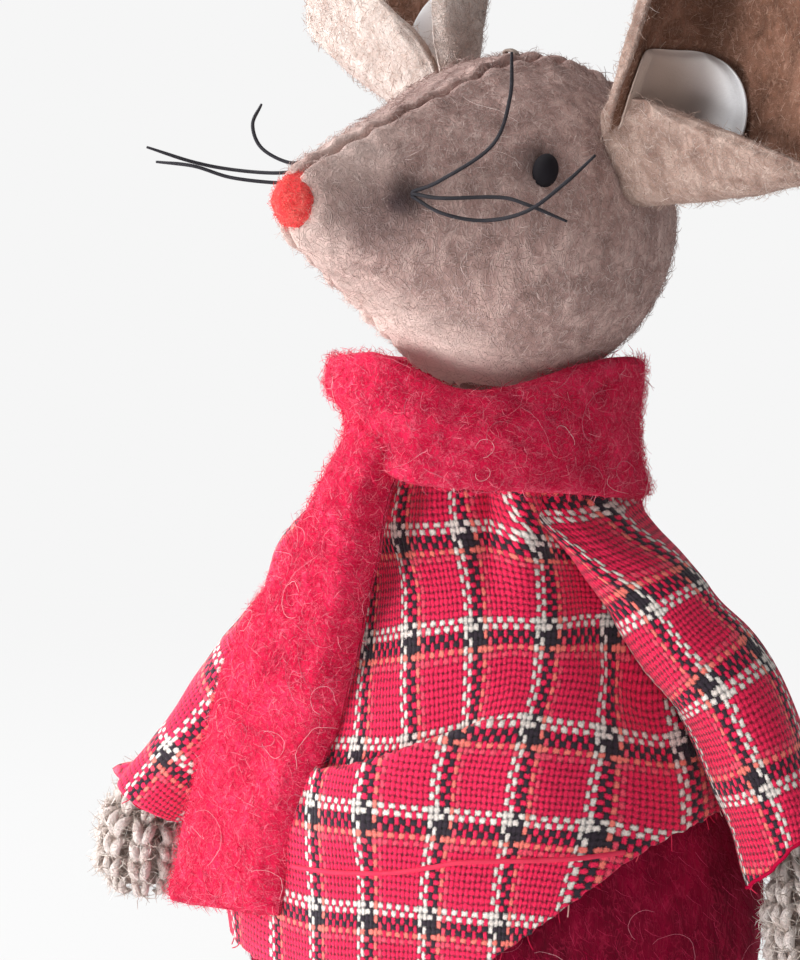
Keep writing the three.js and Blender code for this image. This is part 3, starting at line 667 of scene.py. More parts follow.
# The fibres carry the same painted light under the chin and on the snout, and the same painted shade.
head_fibres = fibre_material("grey_wool_fibre", "#8b6f69", "#bd9d96", "#f6e4de", [
    (spot, reach, 0.9 * amount, "#ead2ca") for spot, reach, amount, code in painted_light_spots
] + [(spot, 0.8 * reach, amount, code) for spot, reach, amount, code in painted_shade_spots])
for side, word in ((1, "left"), (-1, "right")):
    half = head_half(f"head_half_{word}", side)
    half.data.materials.append(head_felt)
    nap = []
    for vertex in half.data.vertices:
        away = (head_turn @ seam_turn).inverted() @ (vertex.co - head_centre)
        nap.append(0.3 + 0.7 * min(1.0, abs(away.x) / (1.6 * mm)))
    for row in range(head_rows):
        for column in range(half_around + 1, 2 * half_around + 2):
            nap[row * (2 * half_around + 2) + column] = 0.0
    set_nap(half, nap)
    coat = grow_fibres(
        f"head_nap_{word}", half, head_fibres, 9000, 1.15 * mm, 0.04 * mm, 0.26, 21 + side,
    )
    hairs = stray_hairs(
        f"head_hairs_{word}", half, head_fibres, 90, 4.5 * mm, 0.05 * mm, 0.35 * mm, 61 + side,
    )
    dress(f"head_felt_{word}", "head", "head_felt", half, coat, hairs)


# Nose. A ball of red wool felt sewn to the end of the snout.
nose_radius = 2.9 * mm
nose_middle = Vector((0, -25.7, 0)) * mm


def ball_rings(centre, radius, across, down, swell=lambda point: 0.0):
    """Rings of a ball from pole to pole, each point moved out by a swell."""
    rings = []
    for row in range(down + 1):
        polar = math.pi * (0.03 + 0.94 * row / down)
        ring = []
        for column in range(across):
            angle = 2 * math.pi * column / across
            way = Vector((
                math.sin(polar) * math.cos(angle), math.sin(polar) * math.sin(angle), math.cos(polar),
            ))
            ring.append(centre + way * (radius + swell(centre + way * radius)))
        rings.append(ring)
    return rings


nose = face_outward(loft("nose_ball", [
    [on_head(point) for point in ring]
    for ring in ball_rings(
        nose_middle, nose_radius, 48, 28, lambda point: lumps(point, 1.3 * mm, 0.22 * mm, 5),
    )
]))
nose.data.materials.append(felt_material(
    "red_nose_felt", "#dd2a33", "#f24046", "#fb6c64", "#ffa08e", blotch=500.0, fibre=1100.0,
))
set_nap(nose, [1.0] * len(nose.data.vertices))
nose_coat = grow_fibres(
    "nose_nap", nose, fibre_material("red_nose_fibre", "#e03038", "#f85450", "#ffa89c"),
    1500, 0.7 * mm, 0.04 * mm, 0.35, 31,
)
dress("nose", "head", "nose_felt", nose, nose_coat)


# Eyes. Black polished beads, sewn through the head so that they pull into the felt.
bead_look, tree, where = new_material("black_bead")
smear = noise_at(tree, where, 900.0, 3.0)
give_surface(tree, {
    "Base Color": mix_colours(tree, smear, tint("#0b090c"), tint("#1d181e")),
    "Roughness": remap(tree, smear, 0.0, 1.0, 0.75, 0.95), "Specular IOR Level": 0.2,
})
bead_stretch = Matrix.Diagonal((0.8, 0.8, 1.06))
for side, word in ((1, "left"), (-1, "right")):
    middle = eye_place(side)
    eye = face_outward(loft(f"bead_eye_{word}", [
        [on_head(middle + bead_stretch @ (point - middle)) for point in ring]
        for ring in ball_rings(middle, eye_radius * 0.93, 40, 24)
    ]))
    eye.data.materials.append(bead_look)
    dress(f"eye_{word}", "head", "eye_bead", eye)


# Whiskers. Stiff waxed threads, three on each side, drawn through the snout from one
# side to the other and knotted; the free ends spring out in their own curves.
whisker_radius = 0.19 * mm
whisker_routes = {
    "left_upper": [(1.15, 0.5, 0.19), (1.115, 0.7, 0.3), (1.0, 0.97, 0.57), (1.09, 1.165, 0.87),
                   (1.25, 1.31, 1.146)],
    "left_middle": [(1.155, 0.5, 0.18), (1.1, 0.72, 0.2), (0.91, 1.0, 0.277), (0.84, 1.17, 0.277),
                    (0.7, 1.4, 0.233)],
    "left_lower": [(1.15, 0.5, 0.165), (1.09, 0.73, 0.115), (0.95, 0.95, 0.126), (0.87, 1.23, 0.243),
                   (0.77, 1.4, 0.447), (0.69, 1.53, 0.646)],
    "right_upper": [(1.17, -0.49, 0.2), (1.24, -0.63, 0.136), (1.325, -0.825, 0.18),
                    (1.32, -0.97, 0.296), (1.18, -1.117, 0.408)],
    "right_middle": [(1.17, -0.49, 0.13), (1.28, -0.69, 0.058), (1.39, -0.99, 0.01),
                     (1.55, -1.19, 0.005), (1.74, -1.43, 0.034)],
    "right_lower": [(1.17, -0.49, 0.05), (1.28, -0.68, 0.0), (1.44, -0.93, -0.03),
                    (1.59, -1.12, -0.01), (1.7, -1.36, -0.04)],
}


def smooth_path(points, steps):
    """Evenly spaced places on a smooth curve through the points."""
    points = [Vector(p) for p in points]
    ends = [2 * points[0] - points[1], *points, 2 * points[-1] - points[-2]]
    fine = []
    for i in range(1, len(ends) - 2):
        a, b, c, d = ends[i - 1:i + 3]
        for j in range(24):
            t = j / 24
            fine.append(0.5 * (2 * b + (c - a) * t + (2 * a - 5 * b + 4 * c - d) * t * t
                               + (3 * b - a - 3 * c + d) * t ** 3))
    fine.append(points[-1])
    spots = np.array([tuple(p) for p in fine])
    run = np.concatenate([[0], np.cumsum(np.linalg.norm(np.diff(spots, axis=0), axis=1))])
    wanted = np.linspace(0, run[-1], steps)
    return [Vector([np.interp(w, run, spots[:, k]) for k in range(3)]) for w in wanted]


def tube(name, path, radius_at, sides=8):
    """A round tube along a path, without twist; the radius is a function of the share."""
    way = [(path[min(i + 1, len(path) - 1)] - path[max(i - 1, 0)]).normalized() for i in range(len(path))]
    side_way = way[0].orthogonal().normalized()
    rings = []
    for i, (place, ahead) in enumerate(zip(path, way)):
        side_way = (side_way - ahead * side_way.dot(ahead)).normalized()
        third = ahead.cross(side_way)
        radius = radius_at(i / (len(path) - 1))
        rings.append([
            place + (side_way * math.cos(2 * math.pi * k / sides)
                     + third * math.sin(2 * math.pi * k / sides)) * radius
            for k in range(sides)
        ])
    return face_outward(loft(name, rings))


def thread_material(name, dark, light, roughness):
    """A twisted thread: fine slanting plies and a little wear along it."""
    look, tree, where = new_material(name)
    plies = add(tree, "ShaderNodeTexWave", {
        "Vector": where, "Scale": 2600.0, "Distortion": 1.5, "Detail": 1.0,
    }, bands_direction="DIAGONAL").outputs["Fac"]
    wear = noise_at(tree, where, 700.0, 3.0)
    give_surface(tree, {
        "Base Color": mix_colours(tree, wear, tint(dark), tint(light)), "Roughness": roughness,
        "Normal": bump(tree, plies, 0.5, 0.06 * mm), "Specular IOR Level": 0.15,
    })
    return look


whisker_look = thread_material("waxed_dark_thread", "#1a181c", "#312f35", 0.6)
for word, shares in whisker_routes.items():
    route = smooth_path([
        on_head(Vector((left, -forward, up)) * head_radius) for forward, left, up in shares
    ], 56)
    whisker = tube(
        f"whisker_thread_{word}", route,
        lambda share: whisker_radius * (1 - 0.3 * max(0.0, share - 0.85) / 0.15),
    )
    whisker.data.materials.append(whisker_look)
    dress(f"whisker_{word}", "head", "whisker_thread", whisker)


# Ears. Large discs of beige wool felt, folded along a chord so that the short side turns
# up as a flap in front, and sewn to the head at the inner end of the fold. A smooth
# white felt disc is glued inside each.
ear_felt_thickness = 1.9 * mm
# The felt tones of the two ears hold painted light: the left ear's darker for the shade on it, the right
# ear's paler for the light on it.
ear_sizes = {
    "left": {"side": 1, "radius": 16.7 * mm, "flap": 13.4 * mm, "tuck": 1.9 * mm,
             "lining_inset": 8.2 * mm, "lining_stretch": 1.42,
             "felt": ("#7d6157", "#a08377", "#bda397", "#d8c4ba")},
    "right": {"side": -1, "radius": 15.5 * mm, "flap": 15.2 * mm, "tuck": 0.0,
              "lining_inset": 6.1 * mm, "lining_stretch": 1.0,
              "felt": ("#b39d93", "#cfbcb3", "#e6d8d0", "#f7efea")},
}
ear_fold_drop = 6.6 * mm
ear_fold_radius = 1.9 * mm
ear_fold_angle = math.radians(155)
ear_cup = 2.1 * mm
ear_curl_radius = 5.2 * mm
ear_curl_start = -6.2 * mm
ear_curl_slant = 0.45
ear_curl_middle = 6.0 * mm
ear_lean = 1.2 * mm
ear_set_back = 4.4 * mm
ear_sink = 0.8 * mm
ear_seat_angle = math.radians(26.7)
ear_tilt = math.radians(15.7)
lining_radius = 6.9 * mm
lining_thickness = 0.9 * mm
lining_rise = 5.3 * mm
ear_rows, ear_columns = 64, 44
lining_rows, lining_columns = 40, 32
inner_felt_from = 3.4 * mm


def smooth_step(value, start, end):
    """A soft step from 0 to 1 between two values."""
    share = min(1.0, max(0.0, (value - start) / (end - start)))
    return share * share * (3 - 2 * share)


def ear_point(ear, along, across, off):
    """A place on the folded ear: along the fold, across it, and off the felt's middle."""
    fold_half = math.sqrt(ear["radius"] ** 2 - ear_fold_drop ** 2)
    seat = math.sqrt(head_radius ** 2 - ear_set_back ** 2) - ear_sink
    outer = max(0.0, along / ear["radius"])
    forward = ear_cup * outer ** 2 - ear_lean * max(0.0, across / ear["radius"])
    curl_from = ear_curl_start + ear_curl_slant * (across - ear_curl_middle)
    curled = max(0.0, curl_from - along) / ear_curl_radius * smooth_step(across, 0, 0.8 * ear_fold_drop)
    if curled > 0:
        along = along + curled * ear_curl_radius - (ear_curl_radius - off) * math.sin(curled)
        forward += (ear_curl_radius - off) * (1 - math.cos(curled))
    up = across
    turned = 0.0
    if across < 0:
        pinch = min(1.0, (along / fold_half) ** 2)
        fold_radius = ear_fold_radius + (ear_felt_thickness / 2 + 0.3 * mm - ear_fold_radius) * pinch
        bent = fold_radius * ear_fold_angle
        turned = min(-across, bent) / fold_radius
        straight = max(-across - bent, 0.0)
        up = -fold_radius * math.sin(turned) - straight * math.cos(turned)
        forward += fold_radius * (1 - math.cos(turned)) + straight * math.sin(turned)
    up += off * math.sin(turned)
    forward += off * math.cos(turned)
    reach = fold_half + along
    out = seat * math.cos(ear_seat_angle) + reach * math.cos(ear_tilt) - up * math.sin(ear_tilt)
    high = seat * math.sin(ear_seat_angle) + reach * math.sin(ear_tilt) + up * math.cos(ear_tilt)
    return on_head((ear["side"] * out, ear_set_back - forward, high))


def ear_ends(ear, across):
    """How far the ear reaches along its fold at a height across it, inward and outward."""
    if across >= 0:
        half = math.sqrt(max(0.0, ear["radius"] ** 2 - (across - ear_fold_drop) ** 2))
        return -half - ear["tuck"] * smooth_step(across, 0, ear_fold_drop), half
    fold_half = math.sqrt(ear["radius"] ** 2 - ear_fold_drop ** 2)
    height = min(1.0, -across / ear["flap"])
    if ear["side"] > 0:
        return -fold_half * (1 - 0.25 * height ** 6), fold_half * (1 - 1.4 * height ** 1.7)
    return -fold_half * (1 - height ** 2.2) ** 0.45, fold_half * (1 - height ** 3) ** 0.33


def disc_row(number, rows):
    """Height across a felt disc of one of its rows, from -1 to 1, closer together at the rim."""
    return -math.cos(math.pi * (0.015 + 0.97 * number / rows))


def felt_disc(name, rows, columns, place):
    """A closed pad of felt with a rounded cut edge, from a function of row, column, face."""
    rings = []
    for i in range(rows + 1):
        row = disc_row(i, rows)
        front, back = [], []
        for j in range(columns + 1):
            column = -math.cos(math.pi * j / columns)
            front.append(place(row, column, 1))
            back.append(place(row, column, -1))
        rings.append(front + back[::-1])
    return face_outward(loft(name, rings))


# The ears' inner faces are painted dark brown: painted shade with warm bounce light inside the cupped felt.
ear_inner_shade_look = felt_material(
    "brown_painted_shade_felt", "#543629", "#724e3e", "#8d6554", "#b08c7a", blotch=340.0, fibre=650.0,
)
ear_fibres = fibre_material("beige_wool_fibre", "#a1867a", "#c8aea1", "#f4e6de")
ear_inner_shade_fibres = fibre_material("brown_painted_shade_fibre", "#4c342a", "#a5806d", "#e2cabb")
for word, ear in ear_sizes.items():
    ear_painted_light_look = felt_material(f"beige_felt_painted_light_{word}", *ear["felt"], blotch=380.0, fibre=750.0)

    def ear_place(row, column, face, ear=ear):
        low, high = -ear["flap"], ear["radius"] + ear_fold_drop
        across = (low + high) / 2 + row * (high - low) / 2
        inward, outward = ear_ends(ear, across)
        rim = 1 - 0.75 * smooth_step(max(abs(row), abs(column)), 0.9, 1.0)
        along = inward + (outward - inward) * (column + 1) / 2
        here = Vector((along, across, 0))
        wave = lumps(here, 7 * mm, 0.5 * mm, ear["side"] * 9) + lumps(here, 1.8 * mm, 0.16 * mm, 4)
        ragged = 1 + 0.012 * noise.noise(here / (1.2 * mm))
        return ear_point(ear, along * ragged, across * ragged, face * rim * ear_felt_thickness / 2 + wave)

    disc = felt_disc(f"ear_felt_{word}", ear_rows, ear_columns, ear_place)
    disc.data.materials.append(ear_painted_light_look)
    disc.data.materials.append(ear_inner_shade_look)
    front_side = np.zeros(len(disc.data.vertices))
    for i in range(ear_rows + 1):
        height = (disc_row(i, ear_rows) + 1) / 2 * (ear["flap"] + ear["radius"] + ear_fold_drop)
        if height > ear["flap"] - inner_felt_from:
            first = 2 * (ear_columns + 1) * i
            front_side[first + 2:first + ear_columns - 1] = 1.0
    # The inner faces take the brown painted shade.
    for polygon in disc.data.polygons:
        if all(front_side[v] for v in polygon.vertices):
            polygon.material_index = 1
    set_nap(disc, 1.0 - front_side)
    coat = grow_fibres(
        f"ear_nap_{word}", disc, ear_fibres, 5500, 1.15 * mm, 0.04 * mm, 0.28, 41 + ear["side"],
    )
    set_nap(disc, front_side)
    inner_coat = grow_fibres(
        f"ear_inner_nap_{word}", disc, ear_inner_shade_fibres, 2000, 1.3 * mm, 0.034 * mm, 0.2, 51 + ear["side"],
    )

    def lining_place(row, column, face, ear=ear):
        squareness = 4 if column < 0 < row else 2
        half = lining_radius * ear["lining_stretch"]
        half *= max(0.0, 1 - abs(row) ** squareness) ** (1 / squareness)
        rim = smooth_step(max(abs(row), abs(column)), 0.85, 1.0)
        off = ear_felt_thickness / 2 + 0.35 * mm
        if face > 0:
            off += lining_thickness * (1 - 0.8 * rim)
        return ear_point(ear, column * half - ear["lining_inset"], row * lining_radius + lining_rise, off)

    # The lining's medial half gets a brown painted shade, where the curled rim shades it and the brown felt
    # reflects into it.
    lining_look = felt_material(
        f"white_lining_felt_{word}", "#e9e9ec", "#f0f0f2", "#f5f5f6", "#fafafa", blotch=240.0, fibre=1500.0,
        spots=[(ear_point(ear, -15 * mm, 8 * mm, ear_felt_thickness), 11 * mm, 0.85, "#b09280")],
        hairs=0.12, relief=0.25,
    )
    lining = felt_disc(f"ear_lining_disc_{word}", lining_rows, lining_columns, lining_place)
    lining.data.materials.append(lining_look)
    dress(f"ear_{word}", "head", "ear_felt", disc, coat, inner_coat)
    dress(f"ear_lining_{word}", "head", "lining_felt", lining)


# Hanging tack. A few turns of grey sewing thread over the top of the seam, which the
# hanging loop goes through.
tack_thread = 0.16 * mm
tack_half = 1.0 * mm
tack_width = 0.4 * mm
tack_drop = 0.62 * mm
tack_rise = 0.42 * mm
tack_turns = 3.5
tack_steps = 160
tack_azimuth = math.radians(-32.3)
tack_look = thread_material("grey_sewing_thread", "#7c6e67", "#a8998f", 0.7)
tack_way = Vector((math.cos(tack_azimuth), math.sin(tack_azimuth), 0))
tack_side = Vector((-tack_way.y, tack_way.x, 0))
tack_path = []
for step in range(tack_steps + 1):
    turn = step / tack_steps * tack_turns * 2 * math.pi
    tack_path.append(
        tack_way * tack_half * math.cos(turn)
        + tack_side * tack_width * (step / tack_steps - 0.5)
        + Vector((0, 0, -tack_drop + tack_rise * math.sin(turn)))
    )
tack = tube("tack_thread", tack_path, lambda share: tack_thread, 7)
tack.data.materials.append(tack_look)
dress("hanger_tack", "head", "sewing_thread", tack)


# Body. A barrel of wadding on a felt neck; it shows only as the shape under the clothes.
body_axis = Vector((-1.9, -0.72, 0)) * mm
body_drop = 94.4 * mm
body_half_width = 28 * mm
body_half_depth = 21.2 * mm
body_outline = np.array([
    (0.2, 0.33, 0.38), (0.25, 0.42, 0.47), (0.3, 0.46, 0.52), (0.34, 0.54, 0.59), (0.38, 0.61, 0.66),
    (0.45, 0.71, 0.755), (0.52, 0.815, 0.845), (0.6, 0.94, 0.945), (0.68, 0.985, 0.985), (0.76, 1, 1),
    (0.83, 0.975, 0.975), (0.9, 0.855, 0.865), (0.95, 0.64, 0.66), (0.985, 0.33, 0.34), (1, 0.06, 0.06),
])
neck_radius = 5.5 * mm
neck_top_drop = 13.6 * mm
neck_bottom_drop = 24 * mm
neck_rows, neck_around = 24, 96


def read_smooth(values, knots, readings, steps):
    """A table read at values and averaged over small steps beside them, to round its corners."""
    return sum(np.interp(values + step, knots, readings) for step in steps) / len(steps)


def body_radius(azimuth, drop, grown=0.0):
    """Distance from the body's middle line to its skin, for arrays of places on it."""
    share = np.asarray(drop) / body_drop
    steps = (-0.03, -0.01, 0.01, 0.03)
    knots, widths, depths = body_outline.T
    width = read_smooth(share, knots, widths, steps) * body_half_width + grown
    depth = read_smooth(share, knots, depths, steps) * body_half_depth + grown
    return 1 / np.hypot(np.sin(azimuth) / width, np.cos(azimuth) / depth)


def on_body(azimuth, radius, drop):
    """Places given by azimuth, distance from the middle line and drop below the head's centre."""
    return np.stack(np.broadcast_arrays(
        body_axis.x + radius * np.sin(azimuth),
        body_axis.y - radius * np.cos(azimuth),
        head_centre.z - np.asarray(drop),
    ), axis=-1)


def cloud(places, size, seed=0):
    """Smooth noise for an array of places."""
    flat = places.reshape(-1, 3) / size + seed
    return np.array([noise.noise(p) for p in flat.tolist()]).reshape(places.shape[:-1])


def ramp(value, start, end):
    """A soft step from 0 to 1 between two values, for arrays."""
    share = np.clip((np.asarray(value) - start) / (end - start), 0, 1)
    return share * share * (3 - 2 * share)


def hill(value, middle, reach):
    """1 at a middle value, falling smoothly to nothing a few reaches away, for arrays."""
    return np.exp(-((value - middle) / reach) ** 2)


def shell(name, outside, thickness, uvs=None, closed=True, inside=None):
    """A sheet with a thickness from a grid of places, closed round or open at its sides."""
    rows, columns = outside.shape[:2]
    down = np.gradient(outside, axis=0)
    if closed:
        across = (np.roll(outside, -1, 1) - np.roll(outside, 1, 1)) / 2
    else:
        across = np.gradient(outside, axis=1)
    normal = np.cross(across, down)
    normal /= np.maximum(np.linalg.norm(normal, axis=2, keepdims=True), 1e-12)
    if inside is None:
        inside = outside - normal * np.asarray(thickness)[..., None]
    points = np.concatenate([outside.reshape(-1, 3), inside.reshape(-1, 3)])
    total = rows * columns
    faces, corners = [], []
    wide = columns if closed else columns - 1

    def quad(spots, layers, turned=False):
        """A face through places of the grid, each on the outside (0) or the inside (1)."""
        ids = [layer * total + r * columns + k % columns for (r, k), layer in zip(spots, layers)]
        faces.append(ids[::-1] if turned else ids)
        if uvs is not None:
            corners.extend(uvs[r, k] for r, k in (spots[::-1] if turned else spots))

    for r in range(rows - 1):
        for k in range(wide):
            spots = ((r, k), (r, k + 1), (r + 1, k + 1), (r + 1, k))
            quad(spots, (0, 0, 0, 0))
            quad(spots, (1, 1, 1, 1), True)
    for r, turned in ((0, False), (rows - 1, True)):
        for k in range(wide):
            quad(((r, k + 1), (r, k), (r, k), (r, k + 1)), (0, 0, 1, 1), turned)
    if not closed:
        for k, turned in ((0, True), (columns - 1, False)):
            for r in range(rows - 1):
                quad(((r, k), (r + 1, k), (r + 1, k), (r, k)), (0, 0, 1, 1), turned)
    return face_outward(make_piece(name, points, faces, corners if uvs is not None else None))


grey_felt_look = felt_material(
    "grey_neck_felt", "#6c5a54", "#85726b", "#9c8981", "#b7a59c", blotch=380.0, fibre=900.0,
)
neck_rings = []
for step in range(neck_rows):
    share = step / (neck_rows - 1)
    turn = np.linspace(0, 2 * np.pi, neck_around, endpoint=False)
    pleats = 1 + 0.05 * np.cos(11 * turn + 2 * share) * (1 - 0.5 * share)
    drop = neck_top_drop + (neck_bottom_drop - neck_top_drop) * share
    ring = on_body(turn, neck_radius * pleats, drop) - np.array(body_axis)
    neck_rings.append([Vector(p) for p in ring])
neck = face_outward(loft("felt_neck", neck_rings))
neck.data.materials.append(grey_felt_look)
dress("neck", "torso", "head_felt", neck)

wadding_look = felt_material(
    "white_wadding", "#d9d4cd", "#e9e5df", "#f6f3ee", "#ffffff", blotch=260.0, fibre=700.0,
)
for node in ("head_stuffing", "body_stuffing"):
    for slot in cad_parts[node].material_slots:
        slot.material = wadding_look


# Trousers. Dark red felt with a long nap, a seat sewn from two halves and two straight legs.
trouser_felt = 1.6 * mm
under_shirt = -1.52 * mm
waist_drop = 51.6 * mm
hip_radius = 5.6 * mm
hips = {"left": Vector((7.7, -7.12, -109.52)) * mm, "right": Vector((-11.5, -7.12, -109.52)) * mm}
leg_length = 41.6 * mm
leg_route = [(0, 0), (0.01, 0.3), (0.025, 0.62), (0.03, 0.84), (-0.03, 0.93), (-0.19, 0.965)]
leg_paths = {
    word: [hip + Vector((0, back, -down)) * leg_length for back, down in leg_route]
    for word, hip in hips.items()
}
trouser_leg_radius = 6.4 * mm
trouser_hem_share = 0.595
trouser_hip_share = -0.09
seat_around, seat_rows = 160, 70
trouser_leg_rows, trouser_leg_around = 64, 90
trouser_nap_thickness, trouser_nap_lift, trouser_nap_combed = 0.046 * mm, 0.16, 0.82
trouser_look = felt_material(
    "dark_red_felt", "#5a021b", "#7a0427", "#980834", "#b42648", blotch=300.0, fibre=620.0, stretch=0.35,
)
trouser_fibres = fibre_material("dark_red_fibre", "#680322", "#a00a38", "#d8486c")
pale_red_fibres = fibre_material("pale_red_fibre", "#c04a64", "#e08a9c", "#f6d6d8")
turn = np.linspace(-np.pi, np.pi, seat_around, endpoint=False)
share = np.sin(np.pi / 2 * np.linspace(0, 1, seat_rows))
azimuths, shares = np.meshgrid(turn, share)
seat_bottom = body_drop + under_shirt
drops = waist_drop + (seat_bottom - 0.4 * mm - waist_drop) * shares
flare = 3.0 * mm * hill(np.degrees(azimuths), 112, 34) * ramp(drops, 55 * mm, 68 * mm)
flare = flare * (1 - ramp(drops, 78 * mm, 92 * mm))
outside = on_body(azimuths, body_radius(azimuths, drops, under_shirt), drops)
crease = hill(outside[..., 0], body_axis.x, 0.7 * mm) * ramp(drops, 60 * mm, 70 * mm)
lumpy = 0.45 * mm * cloud(outside, 6 * mm, 3) + 0.16 * mm * cloud(outside, 1.7 * mm, 8) - 0.5 * mm * crease
radii = body_radius(azimuths, drops, under_shirt) + flare + lumpy * ramp(drops, 54 * mm, 60 * mm)
outside = on_body(azimuths, radii, drops)
inside = on_body(azimuths, np.maximum(radii - trouser_felt, 0.1 * mm), drops - 0.9 * trouser_felt * shares)
seat = shell("trousers_seat_felt", outside, 0, inside=inside)
seat.data.materials.append(trouser_look)
set_nap(seat, np.concatenate([ramp(drops, 53 * mm, 56 * mm).ravel(), np.zeros(drops.size)]))
seat_coat = grow_fibres(
    "trousers_seat_nap", seat, trouser_fibres, 9600, 2.2 * mm, trouser_nap_thickness, trouser_nap_lift, 71,
    trouser_nap_combed,
)
seat_hairs = stray_hairs(
    "trousers_seat_hairs", seat, pale_red_fibres, 46, 8 * mm, 0.06 * mm, 0.45 * mm, 72,
    lambda place: head_centre.z - 80 * mm < place.z < head_centre.z - 60 * mm,
)
dress("trousers_seat", "torso", "trouser_felt", seat, seat_coat, seat_hairs)


def path_length(path):
    """Length of a path of points."""
    return sum((b - a).length for a, b in zip(path, path[1:]))


def place_along(path, share, reach):
    """The place at a share of an even path, and the way ahead judged over a few steps."""
    last = len(path) - 1
    at = share * last
    low = min(last - 1, int(at))
    way = (path[min(last, low + reach)] - path[max(0, low - reach)]).normalized()
    return path[low].lerp(path[low + 1], at - low), way


def limb_rings(route, side_way, start, end, rows, count, radius_at):
    """Rings square to a route that lies in one plane."""
    fine = smooth_path(route, 400)
    rings = []
    for i in range(rows):
        share = start + (end - start) * i / (rows - 1)
        kept = min(1.0, max(0.0, share))
        place, way = place_along(fine, kept, 4)
        place = place + way * (share - kept) * path_length(fine)
        across = way.cross(side_way).normalized()
        ring = []
        for j in range(count):
            angle = 2 * math.pi * j / count
            out = side_way * math.cos(angle) + across * math.sin(angle)
            ring.append(place + out * radius_at(share, angle))
        rings.append(ring)
    return rings


def trouser_radius(share, angle):
    """Radius of a trouser leg, narrow at the hip and a little uneven."""
    down = min(1.0, max(0.0, share / trouser_hem_share))
    radius = hip_radius * 0.8 + (trouser_leg_radius - hip_radius * 0.8) * smooth_step(down, 0.05, 0.7)
    folds = 0.25 * mm * math.sin(7 * angle + 9 * share) * share
    return radius * (1 + 0.03 * math.sin(3 * angle + 4 * share)) + folds


for word, route in leg_paths.items():
    outer = np.array(limb_rings(
        route, Vector((1, 0, 0)), trouser_hip_share, trouser_hem_share, trouser_leg_rows, trouser_leg_around,
        trouser_radius,
    ))
    outer += 0.3 * mm * np.stack([cloud(outer, 4 * mm, s) for s in (1, 5, 9)], -1)
    leg = shell(f"trouser_leg_felt_{word}", outer, trouser_felt)
    leg.data.materials.append(trouser_look)
    set_nap(leg, np.repeat([1.0, 0.0], outer[..., 0].size))
    leg_coat = grow_fibres(
        f"trouser_leg_nap_{word}", leg, trouser_fibres, 3200, 2.0 * mm, trouser_nap_thickness,
        trouser_nap_lift, 73, trouser_nap_combed,
    )
    dress(f"trouser_leg_{word}", f"leg_{word}", "trouser_felt", leg, leg_coat)


# Shirt. Woven checked cotton, gathered into the neck, slumped into a tuck across the
# front, and cut off raw at a slanting hem; the side seam is at the back.
shirt_top_drop = 20.8 * mm
shirt_cloth = 0.42 * mm
warp_pitch = 0.50 * mm
weft_pitch = 0.68 * mm
check_threads = 14
tuck_line_drops = np.array([
    (-180, 52), (-60, 55), (-31, 53.4), (-18, 52.1), (-1, 49.4), (12, 47.8), (21, 46.4), (34, 45.9), (90, 44),
    (180, 52),
])
tuck_bulge = 1.75 * mm
tuck_reach = 17.6 * mm
tuck_double = 1.7 * mm
hem_drop = 75.2 * mm
hem_rise = 19.6 * mm
# White threads above and below the tuck: down the cloth as turns round the body in
# degrees, and across it as drops in mm, each row of numbers one thread.
white_line_drops = [26, 30, 34, 38, 43, 48]
white_lines_above = [
    (-33, -30, -16, -12.5, -9.5, -6), (0.6, 6, 11.5, 14, 14, 14.4), (31, 41, 41.5, 40, 37, 32.5),
    (60, 68, 71, 66, 59.5, 52.5),
]
low_line_drops = [48, 52, 56, 61, 66, 75]
white_lines_below = [
    (-15.8, -15.8, -15.8, -14.7, -14.6, -14.5), (8.3, 6.3, 6.5, 4.1, 3.3, 2.5), (30, 27.5, 26.5, 24, 23, 22),
    (52, 48, 46, 41.6, 38, 35),
]
white_row_azimuths = [-30, -10, 10, 30, 50, 70]
white_rows_above = [
    (20.4, 19.5, 19, 19.2, 20.6, 21.4), (30, 29.1, 28.6, 28.8, 30.2, 31), (40.5, 38.8, 37.8, 37.4, 37.6, 38),
    (50.8, 49.8, 48, 46.3, 47.4, 49.8), (60.4, 59.4, 57.6, 55.6, 56.5, 59),
]
white_rows_below = [
    (46.6, 46.1, 46.1, 46.3, 47.4, 49.8), (56, 55.5, 55.5, 55.6, 56.5, 59),
    (66.8, 66.1, 65.9, 65.9, 66.5, 68.5), (77, 76, 75.6, 75.6, 76, 78),
]


def hem_at(azimuth):
    """How low the raw hem hangs: it rises to the mouse's left, and sags a little under the arm."""
    sag = 1.8 * mm * hill(azimuth, 1.4, 0.27)
    return hem_drop - hem_rise * np.maximum(0, np.sin(azimuth)) ** 1.4 + sag


def vector_scale(tree, vector, amount):
    """A vector made longer or shorter by an amount."""
    made = add(tree, "ShaderNodeVectorMath", {0: vector, "Scale": amount}, operation="SCALE")
    return made.outputs["Vector"]


weave, taken = give_group(
    "plain_weave", "ShaderNodeTree", {"Threads": "Vector", "Wander": 0.1},
    {"Warp Place": "Float", "Weft Place": "Float", "Weft On Top": "Float", "Height": "Float"},
)
grey = (0.5, 0.5, 0.5)
drift = vector_calc(weave, "SUBTRACT", noise_at(weave, taken["Threads"], 0.9, 3.0, output="Color"), grey)
wandered = vector_scale(weave, drift, calc(weave, "MULTIPLY", taken["Wander"], 2.0))
drifted = vector_calc(weave, "ADD", taken["Threads"], wandered)
ragged_noise = noise_at(weave, taken["Threads"], 3.4, 3.0, 0.7, output="Color")
ragged = vector_calc(weave, "MULTIPLY", vector_calc(weave, "SUBTRACT", ragged_noise, grey), (0.85, 0.85, 0.0))
axes = add(weave, "ShaderNodeSeparateXYZ", {0: vector_calc(weave, "ADD", drifted, ragged)}).outputs
thread_places, thread_numbers, thread_rounds = [], [], []
